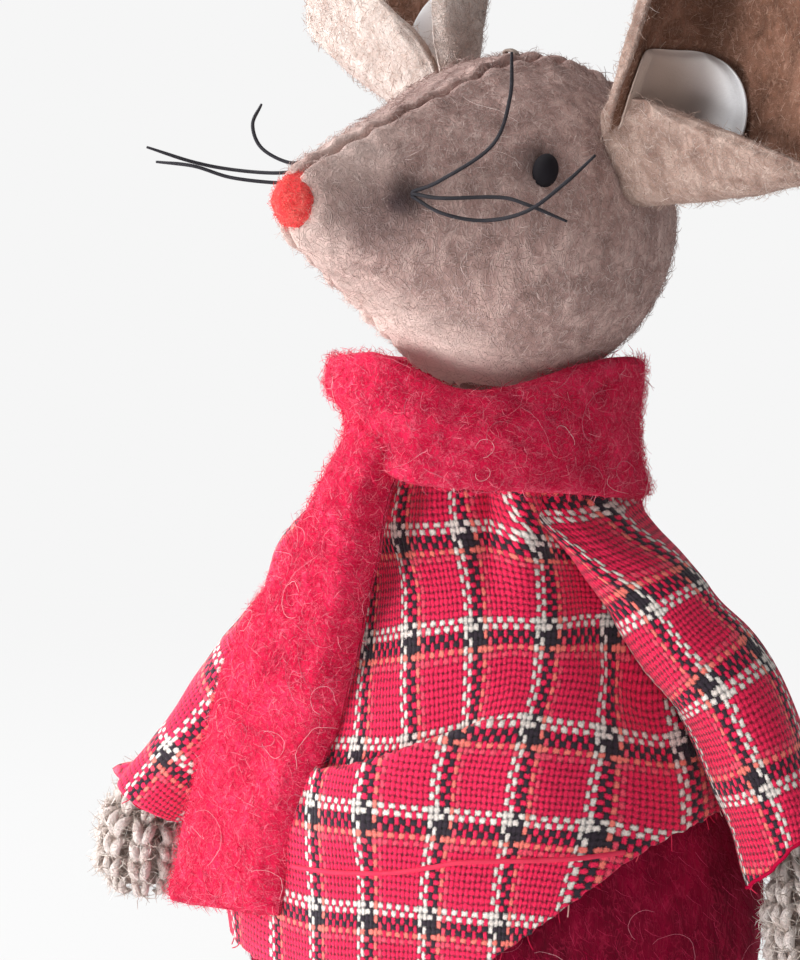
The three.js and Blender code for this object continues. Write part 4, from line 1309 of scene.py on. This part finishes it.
for axis in (0, 1):
    whole = calc(weave, "FLOOR", axes[axis])
    off_middle = calc(weave, "SUBTRACT", calc(weave, "SUBTRACT", axes[axis], whole), 0.5)
    squared = calc(weave, "MULTIPLY", off_middle, off_middle)
    in_repeat = calc(weave, "FLOORED_MODULO", calc(weave, "ADD", whole, 0.5), float(check_threads))
    thread_places.append(calc(weave, "DIVIDE", in_repeat, float(check_threads)))
    thread_numbers.append(whole)
    thread_rounds.append(calc(weave, "MULTIPLY_ADD", squared, -4.6, 1.0))
thread_heights = []
for own, other, sign in ((0, 1, 0.55), (1, 0, -0.55)):
    along = calc(weave, "SUBTRACT", calc(weave, "ADD", axes[other], thread_numbers[own]), 0.5)
    rise = calc(weave, "COSINE", calc(weave, "MULTIPLY", along, math.pi))
    thread_heights.append(calc(weave, "MULTIPLY_ADD", rise, sign, thread_rounds[own]))
add(weave, "NodeGroupOutput", {
    "Warp Place": thread_places[0], "Weft Place": thread_places[1],
    "Weft On Top": calc(weave, "GREATER_THAN", thread_heights[1], thread_heights[0]),
    "Height": calc(weave, "MAXIMUM", *thread_heights),
})

check_look, tree, where = new_material("woven_check")
threads = add(tree, "ShaderNodeUVMap", uv_map="cloth").outputs[0]
cloth = add(tree, "ShaderNodeGroup", {"Threads": threads, "Wander": 0.2}, node_tree=weave).outputs
check_bands = ((0, "#eadfd8"), (2, "#352c35"), (4, "#fa8074"), (5, "#ee5068"), (6, "#ee2856"))
band_stops = [(start / check_threads, code) for start, code in check_bands]
band_colours = [
    colour_ramp(tree, cloth[label], band_stops, "CONSTANT") for label in ("Warp Place", "Weft Place")
]
thread_colour = mix_colours(tree, cloth["Weft On Top"], *band_colours)
fuzz = noise_at(tree, where, 4200.0, 3.0, 0.7)
# Painted shade: the low places between the threads are darkened by the thread height; the fuzz noise adds a
# random tone.
gap_shade = remap(tree, cloth["Height"], 0.3, 1.25, 0.2, 1.22)
gap_shade_and_fuzz_tone = calc(tree, "MULTIPLY", gap_shade, remap(tree, fuzz, 0.3, 0.7, 0.66, 1.2))
thread_height = calc(tree, "MULTIPLY_ADD", fuzz, 0.6, cloth["Height"])
give_surface(tree, {
    "Base Color": vector_scale(tree, thread_colour, gap_shade_and_fuzz_tone), "Roughness": 0.88,
    "Normal": bump(tree, thread_height, 0.8, 0.13 * mm),
    "Sheen Weight": 0.2, "Sheen Roughness": 0.4, "Specular IOR Level": 0.2,
})

columns, rows = 288, 132
azimuths = np.linspace(-np.pi, np.pi, columns + 1)[None, :].repeat(rows, 0)
degrees = np.degrees(azimuths)
tuck_line = read_smooth(degrees, *tuck_line_drops.T, (-6, -2, 2, 6)) * mm
tuck_weight = ramp(degrees, -95, -50) * (1 - ramp(degrees, 8, 33))
doubled = tuck_double * tuck_weight
cloth_end = hem_at(azimuths) + 2 * doubled
run = np.linspace(0, 1, rows)[:, None]
cloth_run = shirt_top_drop + (cloth_end - shirt_top_drop) * run
turn_back = np.maximum(doubled, 0.8 * mm)
back_up = ramp(cloth_run, tuck_line + doubled, tuck_line + doubled + turn_back)
drops = cloth_run - 2 * doubled * back_up
front = ((1 + np.cos(azimuths)) / 2) ** 1.5
ledge = back_up * tuck_weight + ramp(drops, tuck_line - 5 * mm, tuck_line + 5 * mm) * (1 - tuck_weight)
bulge = tuck_bulge * front * ledge * (1 - ramp(drops, tuck_line, tuck_line + tuck_reach))
fade = 1 - ramp(drops, 26 * mm, 40 * mm)
gathers = 0.35 * np.cos(9 * azimuths + 0.6) + 0.22 * np.cos(16 * azimuths + 1.9 + 0.04 * cloth_run / mm)
gathers += 1.1 * hill(degrees, 40, 9) - 0.9 * hill(degrees, 22, 8)
gathers += 0.5 * hill(degrees, -24, 8) - 0.6 * hill(degrees, -38, 8)
drape = 0.3 * mm * np.cos(5 * azimuths + 0.9 + 0.03 * drops / mm) * ramp(drops, 34 * mm, 60 * mm)
valley = 1.1 * mm * hill(degrees - 62, 0.6 * (drops / mm - 40), 9)
valley = valley * ramp(drops, 28 * mm, 36 * mm) * (1 - ramp(drops, 46 * mm, 54 * mm))
radii = body_radius(azimuths, drops, 0.0) + bulge + 0.95 * mm * gathers * fade + drape - valley
places = on_body(azimuths, radii, drops)
radii = radii + 0.35 * mm * cloud(places, 7 * mm, 2)
raw_edge = ramp(run, 0.985, 1.0) * 0.35 * mm * cloud(places, 0.9 * mm, 5)
places = on_body(azimuths, radii, drops + raw_edge)


def white_places(knots, table, values):
    """Each line of a table read at the same values."""
    return [read_smooth(values, knots, line, (-1.5, -0.5, 0.5, 1.5)) for line in table]


def thread_count(position, lines, numbers, beyond):
    """Thread number between lines whose own numbers are known, and on past them."""
    count = numbers[0] + (position - lines[0]) / beyond
    for low, high, first, last in zip(lines, lines[1:], numbers, numbers[1:]):
        count = np.where(position > low, first + (last - first) * (position - low) / (high - low), count)
    return np.where(position > lines[-1], numbers[-1] + (position - lines[-1]) / beyond, count)


over_tuck = back_up * tuck_weight + ramp(drops, tuck_line - 3 * mm, tuck_line + 5 * mm) * (1 - tuck_weight)
over_tuck = over_tuck * (1 - ramp(np.abs(degrees), 80, 115))
white_numbers = [1 + check_threads * number for number in range(5)]
warp_counts = []
for knots, table, spread in (
    (white_line_drops, white_lines_above, 17), (low_line_drops, white_lines_below, 14.5),
):
    lines = white_places(knots, table, drops / mm)
    lines = [-100, lines[0] - 2 * spread, lines[0] - spread, *lines, 112]
    warp_counts.append(thread_count(degrees, lines, [-64, -27, -13, *white_numbers[:4], 78], 1.7))
weft_counts = []
for table, lift in ((white_rows_above, 0), (white_rows_below, 3 * check_threads)):
    lines = white_places(white_row_azimuths, table, degrees)
    weft_counts.append(
        thread_count(drops / mm, lines, white_numbers[:len(lines)], weft_pitch / mm) + lift
    )
uvs = np.stack([above + (below - above) * over_tuck for above, below in (warp_counts, weft_counts)], -1)
shirt = shell("checked_shirt", places[:, :columns], shirt_cloth, uvs)
shirt.data.materials.append(check_look)

shirt_faces = []
for r in range(rows - 1):
    for k in range(columns):
        n = (k + 1) % columns
        shirt_faces.append((r * columns + k, r * columns + n, (r + 1) * columns + n, (r + 1) * columns + k))
shirt_skin = BVHTree.FromPolygons([Vector(p) for p in places[:, :columns].reshape(-1, 3)], shirt_faces)
loose_thread_route = [
    (-33.8, 63.3), (-21.3, 62.9), (-5.8, 62.1), (6.3, 61), (13.2, 60.3), (24.9, 59.9), (34.5, 59.7),
    (43.6, 59.5), (54.5, 59.3),
]
thread_path = []
for azimuth, drop in loose_thread_route:
    turn = math.radians(azimuth)
    start = Vector(on_body(turn, 40 * mm, drop * mm))
    hit = shirt_skin.ray_cast(start, Vector((body_axis.x, body_axis.y, start.z)) - start)[0]
    thread_path.append(hit + Vector((math.sin(turn), -math.cos(turn), 0)) * 0.5 * mm)
frayed_red = fibre_material("frayed_cotton_thread", "#b3123a", "#e83a5a", "#f6e4da")
loose_thread = tube("shirt_loose_thread", smooth_path(thread_path, 90), lambda share: 0.28 * mm, 6)
loose_thread.data.materials.append(thread_material("red_cotton_thread", "#e02e52", "#f24a66", 0.8))


def cut_edge(places, back, count):
    """Places along the last row of a cloth with the way out of it, judged a few rows back."""
    return [
        (Vector(places[-1, k]), (Vector(places[-1, k]) - Vector(places[-1 - back, k])).normalized())
        for k in range(count)
    ]


def frayed_edge(name, edge, count, length, seed, chosen=lambda place: 1.0):
    """Short thread ends that stand out of a raw cut edge, given as places and ways out."""
    draw = random.Random(seed)
    paths, radii = [], []
    while len(paths) < count:
        place, out = edge[draw.randrange(len(edge))]
        if draw.random() > chosen(place):
            continue
        reach = length * draw.uniform(0.3, 1.3)
        curl = Vector([draw.uniform(-1, 1) for _ in range(3)]) * reach * 0.55
        shares = np.linspace(0, 1, 7)
        paths.append([tuple(place - out * 0.3 * mm + out * reach * t + curl * t * t) for t in shares])
        radii.append([0.085 * mm * (1 - 0.35 * t) for t in shares])
    return join_strands(name, paths, radii, frayed_red)


hem_frays = frayed_edge(
    "shirt_hem_frays", cut_edge(places, 5, columns), 130, 1.5 * mm, 81,
    lambda place: 1.0 if -22 * mm < place.x < -10 * mm and place.y < 0 else 0.22,
)
dress("shirt_body", "torso", "check_cloth", shirt, loose_thread, hem_frays)


# Scarf. One strip of thick red felt, wound once round the neck, its two ends left
# hanging from under the fold at the mouse's right and at the nape.
scarf_felt = 1.75 * mm
wrap_top = np.array([
    (-180, 17), (-150, 17), (-120, 16.5), (-100, 15), (-68, 13.9), (-40, 11.7), (-21, 11.1), (-12, 12.6),
    (0, 14.0), (20, 14.4), (46, 13.0), (62, 12.0), (85, 12.2), (102, 13.2), (120, 15), (150, 17), (180, 17),
])
wrap_bottom = np.array([
    (-180, 27.8), (-130, 27), (-95, 26.5), (-60, 20.5), (-45, 19.6), (-15, 23.6), (18, 23.7), (46, 24.2),
    (75, 26), (102, 28), (180, 27.8),
])
wrap_rim_radius = np.array([
    (-180, 14.3), (-110, 14.6), (-62, 15.7), (-30, 14.9), (0, 14.2), (60, 14.4), (100, 16.0), (140, 15),
    (180, 14.3),
])
wrap_waist_radius = np.array([
    (-180, 15.2), (-110, 14.9), (-62, 15.7), (-30, 16.4), (0, 16.35), (60, 16.2), (105, 15.3), (140, 15.6),
    (180, 15.2),
])
wrap_hem_radius = np.array([
    (-180, 15.7), (-110, 14.9), (-75, 14.6), (-50, 15.7), (-30, 16.4), (0, 16.45), (60, 16.4), (105, 16.4),
    (140, 16), (180, 15.7),
])
scarf_rim_round = 0.7 * mm
scarf_nap = (1.2 * mm, 0.044 * mm, 0.34)
scarf_hair = (5.5 * mm, 0.055 * mm, 0.5 * mm)


def round_table(table, azimuths):
    """A size read from a table round the neck, smoothed over the table's corners."""
    degrees = np.degrees(azimuths)
    total = 0
    for step in (-12, -6, 0, 6, 12):
        turned = (degrees + step + 180) % 360 - 180
        total = total + np.interp(turned, table[:, 0], table[:, 1])
    return total / 5 * mm


scarf_look = felt_material(
    "red_scarf_felt", "#b40a36", "#d61846", "#ec305c", "#f87c94", blotch=300.0, fibre=760.0,
)
scarf_fibres = fibre_material("red_scarf_fibre", "#cc0f3e", "#f03560", "#ffa6b6")
around, deep = 260, 30
azimuths = np.linspace(-np.pi, np.pi, around, endpoint=False)[None, :].repeat(deep, 0)
top = round_table(wrap_top, azimuths)
bottom = round_table(wrap_bottom, azimuths)
share = np.linspace(0, 1, deep)[:, None]
drops = top + (bottom - top) * share
rim, waist, skirt = (round_table(t, azimuths) for t in (wrap_rim_radius, wrap_waist_radius, wrap_hem_radius))
radii = np.where(
    share < 0.5,
    rim + (waist - rim) * ramp(share, 0, 0.5),
    waist + (skirt - waist) * ramp(share, 0.5, 1),
)
knob = 0.9 * mm * hill(drops, 15.5 * mm, 2.2 * mm) - 1.2 * mm * hill(drops, 20 * mm, 1.8 * mm)
radii = radii + hill(np.degrees(azimuths), -62, 22) * knob
places = on_body(azimuths, radii, drops)
radii = radii + 0.45 * mm * cloud(places, 5 * mm, 4) + 0.18 * mm * cloud(places, 1.6 * mm, 6)


def drawn_in(away):
    """How far the felt draws in at a distance from its cut edge, which rounds the edge."""
    return scarf_rim_round * (1 - np.sqrt(np.clip(1 - (1 - np.clip(away / (0.8 * mm), 0, 1)) ** 2, 0, 1)))


edges = drawn_in(share * (bottom - top)) + drawn_in((1 - share) * (bottom - top))
outside = on_body(azimuths, radii - edges, drops)
inside = on_body(azimuths, radii - scarf_felt + edges, drops)
wrap = shell("scarf_wrap_felt", outside, 0, inside=inside)
wrap.data.materials.append(scarf_look)
set_nap(wrap, np.repeat([1.0, 0.0], around * deep))
wrap_coat = grow_fibres("scarf_wrap_nap", wrap, scarf_fibres, 9600, *scarf_nap, 91)
wrap_hairs = stray_hairs("scarf_wrap_hairs", wrap, pale_red_fibres, 80, *scarf_hair, 92)
dress("scarf_wrap", "torso", "scarf_felt", wrap, wrap_coat, wrap_hairs)


def spline_table(table, shares):
    """Smooth places along a table of points, by the table's even share."""
    fine = np.array([tuple(p) for p in smooth_path(table, 200)])
    at = np.clip(shares, 0, 1) * (len(fine) - 1)
    low = np.minimum(at.astype(int), len(fine) - 2)
    part = (at - low)[..., None]
    return fine[low] * (1 - part) + fine[low + 1] * part


def felt_strip(name, left_edge, right_edge, crown, clear, seed):
    """A hanging felt end between two edges, crowned across, held clear of the shirt."""
    long, wide = 90, 30
    shares = np.linspace(0, 1, long)
    left, right = spline_table(left_edge, shares), spline_table(right_edge, shares)
    across = -np.cos(np.linspace(0, np.pi, wide))
    middle = (left[:, None] + right[:, None]) / 2
    half = (right[:, None] - left[:, None]) / 2
    places = (middle + half * across[None, :, None]) * mm + np.array(head_centre)
    down = np.gradient(places, axis=0)
    sideways = np.gradient(places, axis=1)
    normal = np.cross(sideways, down)
    normal /= np.linalg.norm(normal, axis=2, keepdims=True)
    outward = places - np.array(body_axis)
    outward[..., 2] = 0
    normal *= np.sign((normal * outward).sum(2, keepdims=True))
    places = places + normal * (crown * (1 - np.abs(across[None, :, None]) ** 2.5))
    flat = places[..., :2] - np.array(body_axis)[:2]
    azimuth = np.arctan2(flat[..., 0], -flat[..., 1])
    radius = np.hypot(flat[..., 0], flat[..., 1])
    drop = head_centre.z - places[..., 2]
    least = body_radius(azimuth, drop, 0.0) + clear
    least += tuck_bulge * ((1 + np.cos(azimuth)) / 2) ** 1.5 * ramp(drop, 44 * mm, 54 * mm)
    least += 0.9 * mm * (1 - ramp(drop, 26 * mm, 42 * mm))
    radius = np.maximum(radius, least + scarf_felt)
    places = on_body(azimuth, radius, drop)
    waves = 0.5 * mm * cloud(places, 6 * mm, seed) + 0.18 * mm * cloud(places, 1.6 * mm, seed + 3)
    places = places + normal * waves[..., None]
    places = places - normal * (1.3 * mm * ramp(across, 0.7, 1.0)[None, :, None])
    side_round = scarf_rim_round * np.maximum(0, 1 - (1 - np.abs(across)) / 0.06)[None, :]
    end_round = scarf_rim_round * np.maximum(0, 1 - (1 - shares) * long / 2)[:, None]
    edge = np.maximum(side_round, end_round)[..., None]
    inside = places - normal * (scarf_felt - edge)
    strip = shell(name, places - normal * edge, 0, closed=False, inside=inside)
    strip.data.materials.append(scarf_look)
    set_nap(strip, np.repeat([1.0, 0.0], long * wide))
    return strip


def dress_between(node, bodies, slot, start, end, *pieces):
    """Pieces fixed where they stand; the first stands for a node of the frame. The bodies, slot, start and
    end are not used.
    """
    for piece in pieces:
        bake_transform(piece)
    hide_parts(node)


front_end = felt_strip(
    "scarf_front_end_felt",
    [(-12.0, -11.2, -17.6), (-13.2, -13.0, -21.0), (-17.5, -12.8, -29.4), (-25.9, -12.0, -44.1),
     (-30.2, -11.6, -58.0), (-33.8, -11.2, -72.2)],
    [(-4.8, -15.6, -19.0), (-7.6, -17.4, -24.8), (-10.0, -18.6, -37.9), (-12.3, -19.6, -50.5),
     (-14.7, -19.6, -60.0), (-16.4, -19.6, -68.8)],
    1.6 * mm, 0.4 * mm, 1,
)
front_coat = grow_fibres("scarf_front_end_nap", front_end, scarf_fibres, 9600, *scarf_nap, 93)
front_hairs = stray_hairs(
    "scarf_front_end_hairs", front_end, pale_red_fibres, 70, *scarf_hair, 94,
    lambda place: place.z < -46 * mm,
)
dress_between(
    "scarf_end_front", ("torso", "scarf_end_front"), "scarf_felt",
    (-0.0085, -0.0155, -0.0385), (-0.0105, -0.0165, -0.0455), front_end, front_coat, front_hairs,
)

back_end = felt_strip(
    "scarf_back_end_felt",
    [(6.5, 14.2, -19.5), (7.0, 15.6, -24.0), (8.6, 17.6, -32.0), (11.6, 20.0, -46.0), (13.4, 21.4, -60.8)],
    [(-1.5, 15.0, -19.5), (-1.6, 16.4, -24.0), (-2.4, 18.6, -32.0), (-3.4, 22.0, -46.0), (-2.4, 23.0, -60.8)],
    0.7 * mm, 0.4 * mm, 2,
)
back_coat = grow_fibres("scarf_back_end_nap", back_end, scarf_fibres, 5000, *scarf_nap, 95)
dress_between(
    "scarf_end_back", ("torso", "scarf_end_back"), "scarf_felt",
    (0.002, 0.0165, -0.0385), (0.002, 0.0175, -0.0455), back_end, back_coat,
)


# Sleeves. The same check, cut along its length, gathered into the armholes under the
# scarf and left raw at the cuffs.
sleeve_cloth = 0.4 * mm
arm_reach = 40.8 * mm
shoulders = {"left": Vector((12.5, -4.42, -49.92)) * mm, "right": Vector((-16.3, -4.42, -49.92)) * mm}
arm_routes = {
    "left": [(0, 0), (0.14, 0.1), (0.31, 0.295), (0.435, 0.535), (0.495, 0.71), (0.535, 0.855), (0.56, 1)],
    "right": [(0, 0), (0.06, 0.16), (0.15, 0.32), (0.31, 0.505), (0.44, 0.64), (0.525, 0.74), (0.562, 0.87),
              (0.565, 1)],
}
arm_sides = {"left": 1, "right": -1}
cuff_at = {"left": 0.766, "right": 0.81}
armhole_drop = 22.6 * mm
armhole_radius = 13.3 * mm
armhole_azimuth = math.radians(76)
armhole_half = 8.4 * mm
armhole_ease = 0.7 * mm
under_wrap = (14.2 * mm, 27 * mm)
white_line_angle = math.radians(72)
first_row = {"left": -5.7, "right": 4.0}
cuff_slant = {"left": 0.05, "right": 0.0}
cuff_pinch = {"left": 0.1, "right": 0.44}
cuff_corner = {"left": 0.4 * mm, "right": 1.5 * mm}
cuff_thread = 0.21 * mm
row_pitch = {"left": -0.74 * mm, "right": 0.74 * mm}
sleeve_round = 33.6 * mm
sleeve_shares = [0, 0.12, 0.3, 0.6, 0.85, 1]
sleeve_half_widths = [4.2, 4.6, 5.0, 5.6, 5.4, 5.1]
sleeve_half_depths = [4.2, 4.4, 4.7, 5.0, 5.0, 4.9]
sleeve_rows, sleeve_around = 116, 96
arm_paths = {
    word: [
        shoulder + Vector((arm_sides[word] * out, 0, -down)) * arm_reach for out, down in arm_routes[word]
    ]
    for word, shoulder in shoulders.items()
}
front_way = Vector((0, -1, 0))
for word, route in arm_paths.items():
    side = arm_sides[word]
    armhole = Vector(on_body(side * armhole_azimuth, armhole_radius, armhole_drop))
    path = smooth_path([armhole, *(p + Vector((0, -0.8 * mm, 0)) for p in route[1:])], 300)
    length = path_length(path)
    grid = np.zeros((sleeve_rows, sleeve_around + 1, 3))
    uvs = np.zeros((sleeve_rows, sleeve_around + 1, 2))
    for r in range(sleeve_rows):
        share = r / (sleeve_rows - 1)
        place, way = place_along(path, share * cuff_at[word], 5)
        out_way = front_way.cross(way).normalized() * side
        drop = head_centre.z - place.z
        free = smooth_step(drop, 25 * mm, 37 * mm)
        wide = np.interp(share, sleeve_shares, sleeve_half_widths) * mm
        thick = np.interp(share, sleeve_shares, sleeve_half_depths) * mm
        for k in range(sleeve_around + 1):
            angle = 2 * math.pi * (k / sleeve_around - 1 / 3)
            pleat = 1 + 0.035 * math.sin(3 * angle + 6 * share)
            slant = -cuff_slant[word] * length * math.cos(angle) * smooth_step(share, 0.6, 1.0)
            outer = max(0.0, math.cos(angle))
            half_wide = wide * (1 - cuff_pinch[word] * outer * smooth_step(share, 0.6, 0.97))
            round_place = place + way * slant + (
                out_way * math.cos(angle) * half_wide + front_way * math.sin(angle) * thick
            ) * pleat
            sharp = max(0.0, math.cos(angle - 0.3)) ** 160
            round_place += out_way * (cuff_corner[word] * sharp * smooth_step(share, 0.965, 1.0))
            azimuth = side * (armhole_azimuth - armhole_half * math.sin(angle) / armhole_radius)
            radius = float(body_radius(azimuth, drop)) + armhole_ease * (1.6 + math.cos(angle))
            radius += 0.3 * mm * math.cos(9 * angle) * (1 + math.cos(angle)) / 2
            radius = min(radius, under_wrap[0] + 0.9 * max(0.0, drop - under_wrap[1]))
            flat_place = Vector(on_body(azimuth, radius, drop))
            grid[r, k] = flat_place.lerp(round_place, free)
            uvs[r, k] = (
                1 + (angle - white_line_angle) / (2 * math.pi) * sleeve_round / warp_pitch,
                first_row[word] + (share * cuff_at[word] * length + slant) / row_pitch[word],
            )
    grid += 0.3 * mm * np.stack([cloud(grid, 5 * mm, s) for s in (2, 6, 11)], -1)
    sleeve = shell(f"checked_sleeve_{word}", grid[:, :sleeve_around], sleeve_cloth, uvs)
    sleeve.data.materials.append(check_look)
    cuff_edge = cut_edge(grid, 3, sleeve_around)
    cuff_frays = frayed_edge(f"cuff_frays_{word}", cuff_edge, 26, 1.0 * mm, 83 + side)
    rim = [
        place + Vector([lumps(place, 1.4 * mm, 0.22 * mm, seed) for seed in (3, 5, 8)])
        for place, way in cuff_edge
    ]
    cuff_rim = tube(
        f"cuff_edge_thread_{word}", smooth_path(rim + rim[:1], 240), lambda share: cuff_thread, 6,
    )
    cuff_rim.data.materials.append(frayed_red)
    upper, lower = (
        tuple(next(p for p in path if head_centre.z - p.z > drop)) for drop in (26.5 * mm, 38.5 * mm)
    )
    dress_between(
        f"sleeve_{word}", ("torso", f"arm_{word}"), "check_cloth", upper, lower, sleeve, cuff_frays, cuff_rim,
    )


# Hands, feet and tail. Chunky grey-beige knitting in plain stitch, drawn in at the ends.
paw_radius = 4.4 * mm
paw_swell = [
    (0.1, 0.58), (0.3, 0.66), (0.6, 0.6), (0.78, 0.62), (0.84, 1.02), (0.94, 1.08), (0.99, 0.8), (1, 0.5),
]
leg_radius = 3.85 * mm
leg_swell = [(0.06, 0.8), (0.3, 0.95), (0.7, 0.88), (0.8, 1), (0.92, 1.1), (0.98, 0.82), (1, 0.45)]
tail_length = 52.8 * mm
tail_root_radius = 1.9 * mm
tail_tip_radius = 1.1 * mm
tail_root = Vector((-1.9, 19.8, -98.32)) * mm
tail_route = [(0, 0), (0.05, 0.12), (0.07, 0.35), (0.03, 0.6), (0.06, 0.82), (0.15, 1)]
knit_end = 0.985
# The stitches are darkened where the yarn lies low: painted shade in the hollows between stitches.
knit_look = felt_material(
    "pale_knitting", "#d8c4bc", "#ecddd6", "#f6ebe6", "#fdf7f4", blotch=420.0, fibre=1300.0, relief=1.0,
    painted_hollow_shade=("yarn_height", -0.15, 0.32, 0.62, "#937b6d"),
)
# The cord under the stitches is the same yarn painted darker: painted shade between the stitch columns.
knit_shade_look = felt_material(
    "knitting_core_painted_shade", "#86706a", "#a08a82", "#baa59c", "#d6c5bc", blotch=420.0, fibre=900.0,
)
knit_fibres = fibre_material("pale_knit_fibre", "#b09c90", "#e6dbd2", "#fdf9f5")
stitch_wide, stitch_tall, stitch_deep = 2.6 * mm, 2.05 * mm, 2.3 * mm


def build_stitch_tree():
    """Geometry nodes: a plain stitch of two leaning lobes of yarn on every given place."""
    tree, taken = give_group("plain_stitches", "GeometryNodeTree", {
        "Geometry": "Geometry", "Wide": stitch_wide, "Tall": stitch_tall, "Deep": stitch_deep,
        "Material": "Material",
    }, {"Geometry": "Geometry"})
    profile = add(tree, "GeometryNodeCurvePrimitiveCircle", {"Resolution": 7, "Radius": 1.0})
    along = add(tree, "GeometryNodeSplineParameter").outputs["Factor"]
    swell = calc(tree, "SINE", calc(tree, "MULTIPLY", along, math.pi))
    fullness = calc(tree, "MULTIPLY_ADD", swell, 0.17, 0.07)
    stitch = add(tree, "GeometryNodeJoinGeometry")
    for side in (1, -1):
        leg = add(tree, "GeometryNodeCurveQuadraticBezier", {
            "Resolution": 6, "Start": (side * 0.08, -0.78, -0.32), "Middle": (side * 0.2, -0.1, 0.8),
            "End": (side * 0.4, 0.66, -0.32),
        })
        yarn = add(tree, "GeometryNodeCurveToMesh", {
            "Curve": leg.outputs[0], "Profile Curve": profile.outputs["Curve"],
            "Scale": fullness, "Fill Caps": True,
        })
        tree.links.new(yarn.outputs[0], stitch.inputs[0])
    smooth = add(tree, "GeometryNodeSetShadeSmooth", {0: stitch.outputs[0]})
    where = add(tree, "GeometryNodeInputPosition").outputs[0]
    height = add(tree, "ShaderNodeSeparateXYZ", {0: where}).outputs["Z"]
    marked = add(tree, "GeometryNodeStoreNamedAttribute", {
        "Geometry": smooth.outputs[0], "Name": "yarn_height", "Value": height,
    }, data_type="FLOAT", domain="POINT")
    face_way, knit_way, stitch_size = (
        add(tree, "GeometryNodeInputNamedAttribute", {"Name": name}, data_type="FLOAT_VECTOR").outputs[0]
        for name in ("face_way", "knit_way", "stitch_size")
    )
    facing = add(tree, "FunctionNodeAlignRotationToVector", {"Vector": face_way}, axis="Z")
    turned = add(tree, "FunctionNodeAlignRotationToVector", {
        "Rotation": facing.outputs[0], "Vector": knit_way,
    }, axis="Y", pivot_axis="Z")
    full = add(tree, "ShaderNodeCombineXYZ", {0: taken["Wide"], 1: taken["Tall"], 2: taken["Deep"]})
    size = vector_calc(tree, "MULTIPLY", stitch_size, full.outputs[0])
    copies = add(tree, "GeometryNodeInstanceOnPoints", {
        "Points": taken["Geometry"], "Instance": marked.outputs[0], "Rotation": turned.outputs[0],
        "Scale": vector_scale(tree, size, random_number(tree, 0.88, 1.12, 7)),
    })
    return end_tree(tree, copies.outputs[0], taken["Material"])


def swell_along(radius, table):
    """Radius of a limb at a share of its length, from a table of shares of its full radius."""
    return lambda share: radius * float(np.interp(share, *zip(*table)))


stitch_tree = build_stitch_tree()
# Each knitted cord has its names, route, a way square to it, where the cord and its
# stitches start along it, its radius and its count of loose fibres.
knit_cords = [
    (f"knit_arm_{word}", f"arm_knit_{word}", f"arm_{word}", route, Vector((0, 1, 0)), 0.17, 0.62,
     swell_along(paw_radius, paw_swell), 4300) for word, route in arm_paths.items()
] + [
    (f"knit_leg_{word}", f"leg_knit_{word}", f"leg_{word}", route, Vector((1, 0, 0)), 0.2, 0.5,
     swell_along(leg_radius, leg_swell), 4300) for word, route in leg_paths.items()
] + [
    ("knit_tail", "tail", "tail",
     [tail_root + Vector((0, back, -down)) * tail_length for back, down in tail_route],
     Vector((1, 0, 0)), 0.0, 0.03,
     lambda share: tail_root_radius + (tail_tip_radius - tail_root_radius) * share, 3000)
]
for name, node, body, route, side_way, start, knit_start, swell, fuzz_count in knit_cords:
    knitted = face_outward(loft(name, limb_rings(
        route, side_way, start, 1.0, 90, 48,
        lambda share, angle: swell(share) - min(1.3 * mm, 0.45 * swell(share)),
    )))
    knitted.data.materials.append(knit_shade_look)
    middle_radius = swell((knit_start + 1) / 2)
    columns = max(5, round(2 * math.pi * middle_radius / stitch_wide))
    run = path_length(smooth_path(route, 100))
    courses = round(run * (knit_end - knit_start) / min(stitch_tall, 2.2 * middle_radius))
    wide_size = 2 * math.pi * middle_radius / columns / stitch_wide
    bed = np.array(limb_rings(
        route, side_way, knit_start, knit_end, courses, columns,
        lambda share, angle: swell(share) - 0.2 * stitch_deep * wide_size,
    ))
    ahead = np.gradient(bed, axis=0)
    ahead /= np.linalg.norm(ahead, axis=2, keepdims=True)
    out = bed - bed.mean(axis=1, keepdims=True)
    radius_here = np.linalg.norm(out, axis=2, keepdims=True)
    out = out - ahead * (out * ahead).sum(2, keepdims=True)
    out /= np.linalg.norm(out, axis=2, keepdims=True)
    narrow = np.clip(radius_here / radius_here.max(), 0.3, 1)
    tall, deep = (np.full_like(narrow, amount) for amount in (max(0.7, wide_size), wide_size))
    size = np.concatenate([narrow * wide_size, tall, deep], 2)
    places = make_piece(f"{name}_places", bed.reshape(-1, 3), [])
    for label, values in (("face_way", out), ("knit_way", -ahead), ("stitch_size", size)):
        layer = places.data.attributes.new(label, "FLOAT_VECTOR", "POINT")
        layer.data.foreach_set("vector", np.asarray(values, np.float32).ravel())
    stitches = bake_tree(f"{name}_stitches", places, stitch_tree, {
        "Wide": stitch_wide, "Tall": stitch_tall, "Deep": stitch_deep, "Material": knit_look,
    })
    bpy.data.objects.remove(places)
    set_nap(stitches, [1.0] * len(stitches.data.vertices))
    fuzz = grow_fibres(f"{name}_fuzz", stitches, knit_fibres, fuzz_count, 1.5 * mm, 0.08 * mm, 0.3, 101)
    dress(node, body, "pale_knit", knitted, stitches, fuzz)
